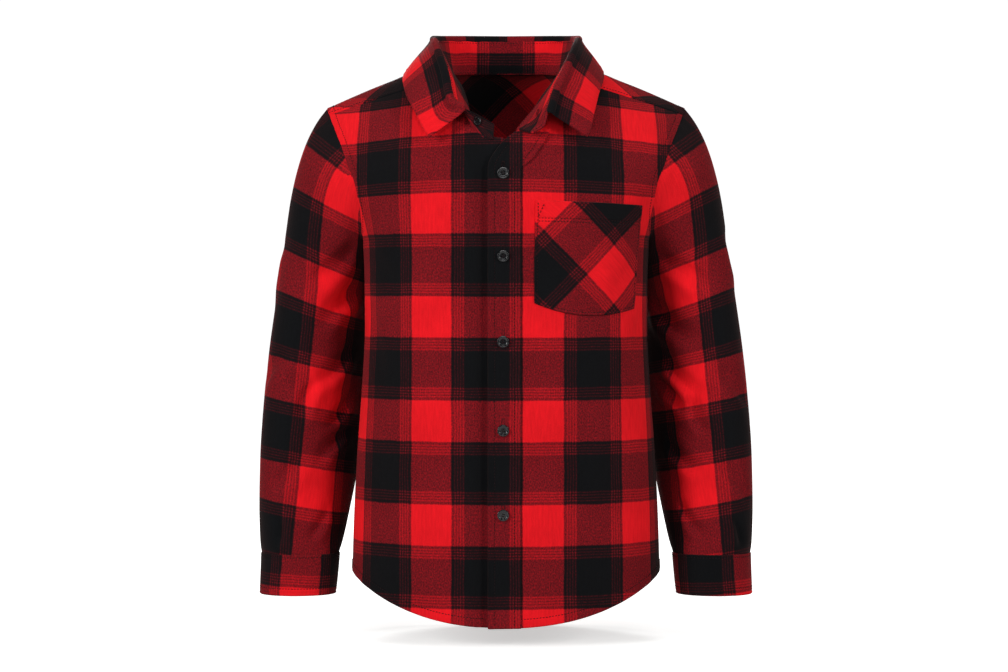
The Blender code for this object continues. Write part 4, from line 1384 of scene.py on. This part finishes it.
def cuffLines():
    lines = []
    for side in (leftSide, rightSide):
        upperEnd = "end" if side == leftSide else "start"
        for edge, at in (("top", cuff["stitch"]), ("bottom", cuff["hem"] + 1.5), (upperEnd, cuff["stitch"])):
            lines.append(cutShort(lineInside(cuffs[side], edge, at), 2, -2))
    return lines


threadwork = {
    "armhole_stitches": armholeLines(),
    "hem_stitches": [lineInside(sheet, "bottom", fronts["hem"] - 1)
                     for sheet in (frontLeft, frontRight, backSheet)],
    "yoke_stitches": yokeSeamLines(),
    "placket_stitches": [cutShort(line, 4, -2) for line in linesIn(bandSheet, ("start", "end"), band["stitch"])],
    "pocket_stitches": pocketLines(),
    "collar_stitches": collarLines(),
    "cuff_stitches": cuffLines(),
}
for name, lines in threadwork.items():
    makeThreadwork(name, [stitchRow(line) for line in lines])
print("stitches made")


def gripOf(direction, normal):
    # directions along and across a face, squared to its normal
    normal = unit(np.asarray(normal, float))
    direction = unit(direction - (direction * normal).sum() * normal)
    return direction, np.cross(normal, direction), normal


def buttonhole(centre, direction, normal):
    # satin stitches lying across the slit in two bars, closed by a denser bar at each end
    direction, over, normal = gripOf(np.asarray(direction, float), normal)
    run = np.arange(-hole["length"] / 2, hole["length"] / 2 + 0.01, hole["pitch"])
    centres, ways = [], []
    for t in run:
        for edge in (-1, 1):
            centres.append(centre + direction * t + over * edge * hole["barAt"])
            ways.append(over + direction * 0.12 * edge)
    for t in (-1.05, -0.95, 0.95, 1.05):
        for edge in (-0.8, 0, 0.8):
            centres.append(centre + direction * t * hole["length"] / 2 + over * edge)
            ways.append(over)
    centres, ways = np.array(centres), unit(np.array(ways))
    return grains(centres, ways, np.broadcast_to(normal, centres.shape), hole["barWidth"], 0.72, 0.3)


def onPlacket(z):
    # point of the band's face in the line of the buttons
    point = onForm(buttons["x"], z, frontFace)
    return point + (0, -(band["lift"] + band["wall"] / 2), 0)


holes = []
for z in buttons["heights"]:
    holes.append(buttonhole(onPlacket(z + hole["above"]), (0, 0, 1), (0, -1, 0)))
place, share = buttons["holeOnStand"]
base, top, up, out = (v[0] for v in standLines(leftSide, np.array([place])))
ahead = standLines(leftSide, np.array([place + 0.03]))[0][0]
holes.append(buttonhole(base + (top - base) * share - out * (collar["standWall"] / 2 + 0.1), ahead - base, -out))
overCuff = {}
for side in (leftSide, rightSide):
    angle = np.radians(np.array([cuff["startsAt"] - cuff["lap"] / 2, cuff["startsAt"] - cuff["lap"] / 2 + 3]))
    point, ahead = ringPoints(cuff, np.array([0.5]), angle)[0]
    rise = ringPoints(cuff, np.array([1.0, 0.0]), angle[:1])[:, 0]
    out = unit(np.cross(rise[0] - rise[1], ahead - point))
    turned = np.array((side, 1, 1))
    overCuff[side] = (point * turned, out * turned)
    holes.append(buttonhole((point + out * cuff["wall"] / 2) * turned, (ahead - point) * turned, out * turned))
makeThreadwork("buttonholes", holes)
print("buttonholes made")


# buttons

def selectNone():
    bpy.ops.object.select_all(action="DESELECT")


def pickFaces(thing, chosen):
    bpy.ops.object.mode_set(mode="EDIT")
    bpy.ops.mesh.select_mode(type="FACE")
    bpy.ops.mesh.select_all(action="DESELECT")
    bpy.ops.object.mode_set(mode="OBJECT")
    for face in thing.data.polygons:
        face.select = bool(chosen(face))
    bpy.ops.object.mode_set(mode="EDIT")


def applyAll(thing):
    bpy.context.view_layer.objects.active = thing
    for name in [m.name for m in thing.modifiers]:
        bpy.ops.object.modifier_apply(modifier=name)


def modelButton():
    # a turned four-hole button at the origin, facing +Z, its back at zero
    radius, thick = buttons["radius"] / 1000, buttons["thickness"] / 1000
    selectNone()
    bpy.ops.mesh.primitive_cylinder_add(vertices=40, radius=radius, depth=thick, location=(0, 0, thick / 2))
    thing = bpy.context.object
    thing.name = "buttonModel"
    bpy.ops.object.transform_apply(location=True, rotation=False, scale=False)
    pickFaces(thing, lambda face: face.normal.z > 0.9)
    bpy.ops.mesh.inset(thickness=buttons["rim"] / 1000)
    bpy.ops.mesh.inset(thickness=buttons["slope"] / 1000)
    bpy.ops.transform.translate(value=(0, 0, -buttons["well"] / 1000))
    bpy.ops.mesh.inset(thickness=buttons["wellRing"] / 1000)
    bpy.ops.object.mode_set(mode="OBJECT")
    bevel = thing.modifiers.new("softEdges", "BEVEL")
    bevel.width = buttons["bevel"] / 1000
    bevel.segments = 3
    bevel.limit_method = "ANGLE"
    bevel.angle_limit = math.radians(buttons["sharpFrom"] - 4)
    applyAll(thing)
    for k in range(4):
        turn = math.radians(45 + 90 * k)
        out = buttons["holeAt"] / 1000
        selectNone()
        bpy.ops.mesh.primitive_cylinder_add(vertices=12, radius=buttons["holeRadius"] / 1000, depth=thick * 2,
                                            location=(out * math.cos(turn), out * math.sin(turn), thick / 2))
        drill = bpy.context.object
        cut = thing.modifiers.new("hole", "BOOLEAN")
        cut.object = drill
        cut.operation = "DIFFERENCE"
        cut.solver = "EXACT"
        applyAll(thing)
        bpy.data.objects.remove(drill)
    selectNone()
    thing.select_set(True)
    bpy.context.view_layer.objects.active = thing
    bpy.ops.object.shade_smooth_by_angle(angle=math.radians(buttons["sharpFrom"]))
    return thing


def placeButton(name, model, point, facing, size=1.0, turn=0.0):
    # a copy with its own mesh, moved by its mesh so that the object stays at the origin
    mesh = model.data.copy()
    mesh.name = name
    across, over, facing = gripOf(np.array((math.cos(turn), 0.001, math.sin(turn))), facing)
    for vertex in mesh.vertices:
        local = np.array(vertex.co) * size
        vertex.co = (np.asarray(point) / 1000 + across * local[0] + over * local[1] + facing * local[2]).tolist()
    mesh.materials.clear()
    mesh.materials.append(resin)
    piece = addToScene("resin_" + name, mesh)
    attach(piece, "root")
    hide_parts(name)
    # two bars of thread over the holes, and the shank behind
    bars = []
    lift = (buttons["thickness"] - buttons["well"]) * size + 0.15
    for k in (-1, 1):
        at = np.asarray(point) + facing * lift + over * k * buttons["holeAt"] * 0.71 * size
        bars.append(grains(at[None], across[None], facing[None], 3.6 * size, 0.8 * size, 0.35))
    bars.append(grains((np.asarray(point) - facing * 0.4)[None], facing[None], across[None], 2.2, 2.4, 1.2))
    return bars


model = modelButton()
bars = []
for n, z in enumerate(buttons["heights"], 1):
    at = onPlacket(z) + (0, -buttons["offCloth"], 0)
    bars += placeButton("button_%d" % n, model, at, (0, -1, 0), turn=0.35 * math.sin(2.1 * n))
place, share = buttons["onStand"]
base, top, up, out = (v[0] for v in standLines(rightSide, np.array([place])))
at = base + (top - base) * share + out * (collar["standWall"] / 2 + buttons["offCloth"])
overRight = np.array((-1, 1, 1))
bars += placeButton("button_collar", model, at * overRight, out * overRight, size=buttons["smallShare"])
for side in (leftSide, rightSide):
    point, out = overCuff[side]
    at = point + out * (cuff["wall"] / 2 + buttons["offCloth"])
    bars += placeButton(named("button_cuff", side), model, at, out)
bpy.data.objects.remove(model)
makeThreadwork("button_threads", bars)
print("buttons made")


# floor, light and camera

studio = {
    "floorAt": -0.5585,     # metres, as are the rest here
    "floorColour": "#F6F6F5",
    "floorGlow": (0.56, 1.08),      # near the shirt and far away
    "glowFrom": (0.35, 1.7),
    "skyLight": 0.24,       # soft light from all round
    "skyShown": 1.05,       # the sky itself shows white
    "lights": [             # name, place, width and height, watts, spread in degrees
        ("rightSide", (1.75, -1.75, 0.6), (0.7, 1.0), 8.0, 100),
        ("leftSide", (-1.75, -1.75, 0.45), (0.7, 1.0), 12.2, 100),
        ("behind", (-0.4, 2.5, 0.8), (0.9, 0.9), 12, 100),
        ("front", (0.0, -2.6, 0.5), (0.6, 0.6), 3.0, 100),
        ("top", (0.1, 0.3, 1.9), (1.2, 1.2), 4, 120),
    ],
    "lookedAt": (-0.005, 0, -0.27),
    "cameraAt": (-0.002, -2.4, -0.259),
    "lens": 85.7,
}

selectNone()
bpy.ops.mesh.primitive_plane_add(size=12, location=(0, 0, studio["floorAt"]))
floor = bpy.context.object
floor.name = "studioFloor"
floor.visible_diffuse = False       # it throws no light up on the cloth
# white paper lit from below as well, so that it shows white right up to the soft contact shadows
paper, paperTree = emptyMaterial("glowingWhitePaper")
spot = addNode(paperTree, "TexCoord", {})
away = addNode(paperTree, "VectorMath", {0: (spot, "Object")}, operation="LENGTH")
glow = addNode(paperTree, "MapRange", {
    "Value": (away, "Value"), "From Min": studio["glowFrom"][0], "From Max": studio["glowFrom"][1],
    "To Min": studio["floorGlow"][0], "To Max": studio["floorGlow"][1]}, interpolation_type="SMOOTHSTEP")
whiteSheet = addNode(paperTree, "BsdfPrincipled", {
    "Base Color": fromHex(studio["floorColour"]), "Roughness": 0.95, "Specular IOR Level": 0.0,
    "Emission Color": fromHex(studio["floorColour"]), "Emission Strength": glow})
addNode(paperTree, "OutputMaterial", {"Surface": whiteSheet})
floor.data.materials.append(paper)

sky = bpy.data.worlds.new("softWhiteStudio")
sky.use_nodes = True
sky.node_tree.nodes.clear()
seen = addNode(sky.node_tree, "LightPath", {})
skyLevel = addNode(sky.node_tree, "MapRange", {"Value": (seen, "Is Camera Ray"), "To Min": studio["skyLight"],
                                               "To Max": studio["skyShown"]})
white = addNode(sky.node_tree, "Background", {"Color": (1, 1, 1, 1), "Strength": skyLevel})
addNode(sky.node_tree, "OutputWorld", {"Surface": white})
bpy.context.scene.world = sky

for lightName, place, size, watts, spread in studio["lights"]:
    lamp = bpy.data.lights.new(lightName, "AREA")
    lamp.shape = "RECTANGLE"
    lamp.size, lamp.size_y = size
    lamp.energy = watts
    lamp.spread = math.radians(spread)
    lit = addToScene(lightName, lamp)
    lit.location = place
    lit.rotation_euler = (Vector(studio["lookedAt"]) - Vector(place)).to_track_quat("-Z", "Y").to_euler()

cameraData = bpy.data.cameras.new("camera")
cameraData.lens = studio["lens"]
camera = addToScene("camera", cameraData)
camera.location = studio["cameraAt"]
camera.rotation_euler = (math.radians(90), 0, 0)
bpy.context.scene.camera = camera
bpy.context.scene.view_settings.view_transform = "Standard"
print("studio made")
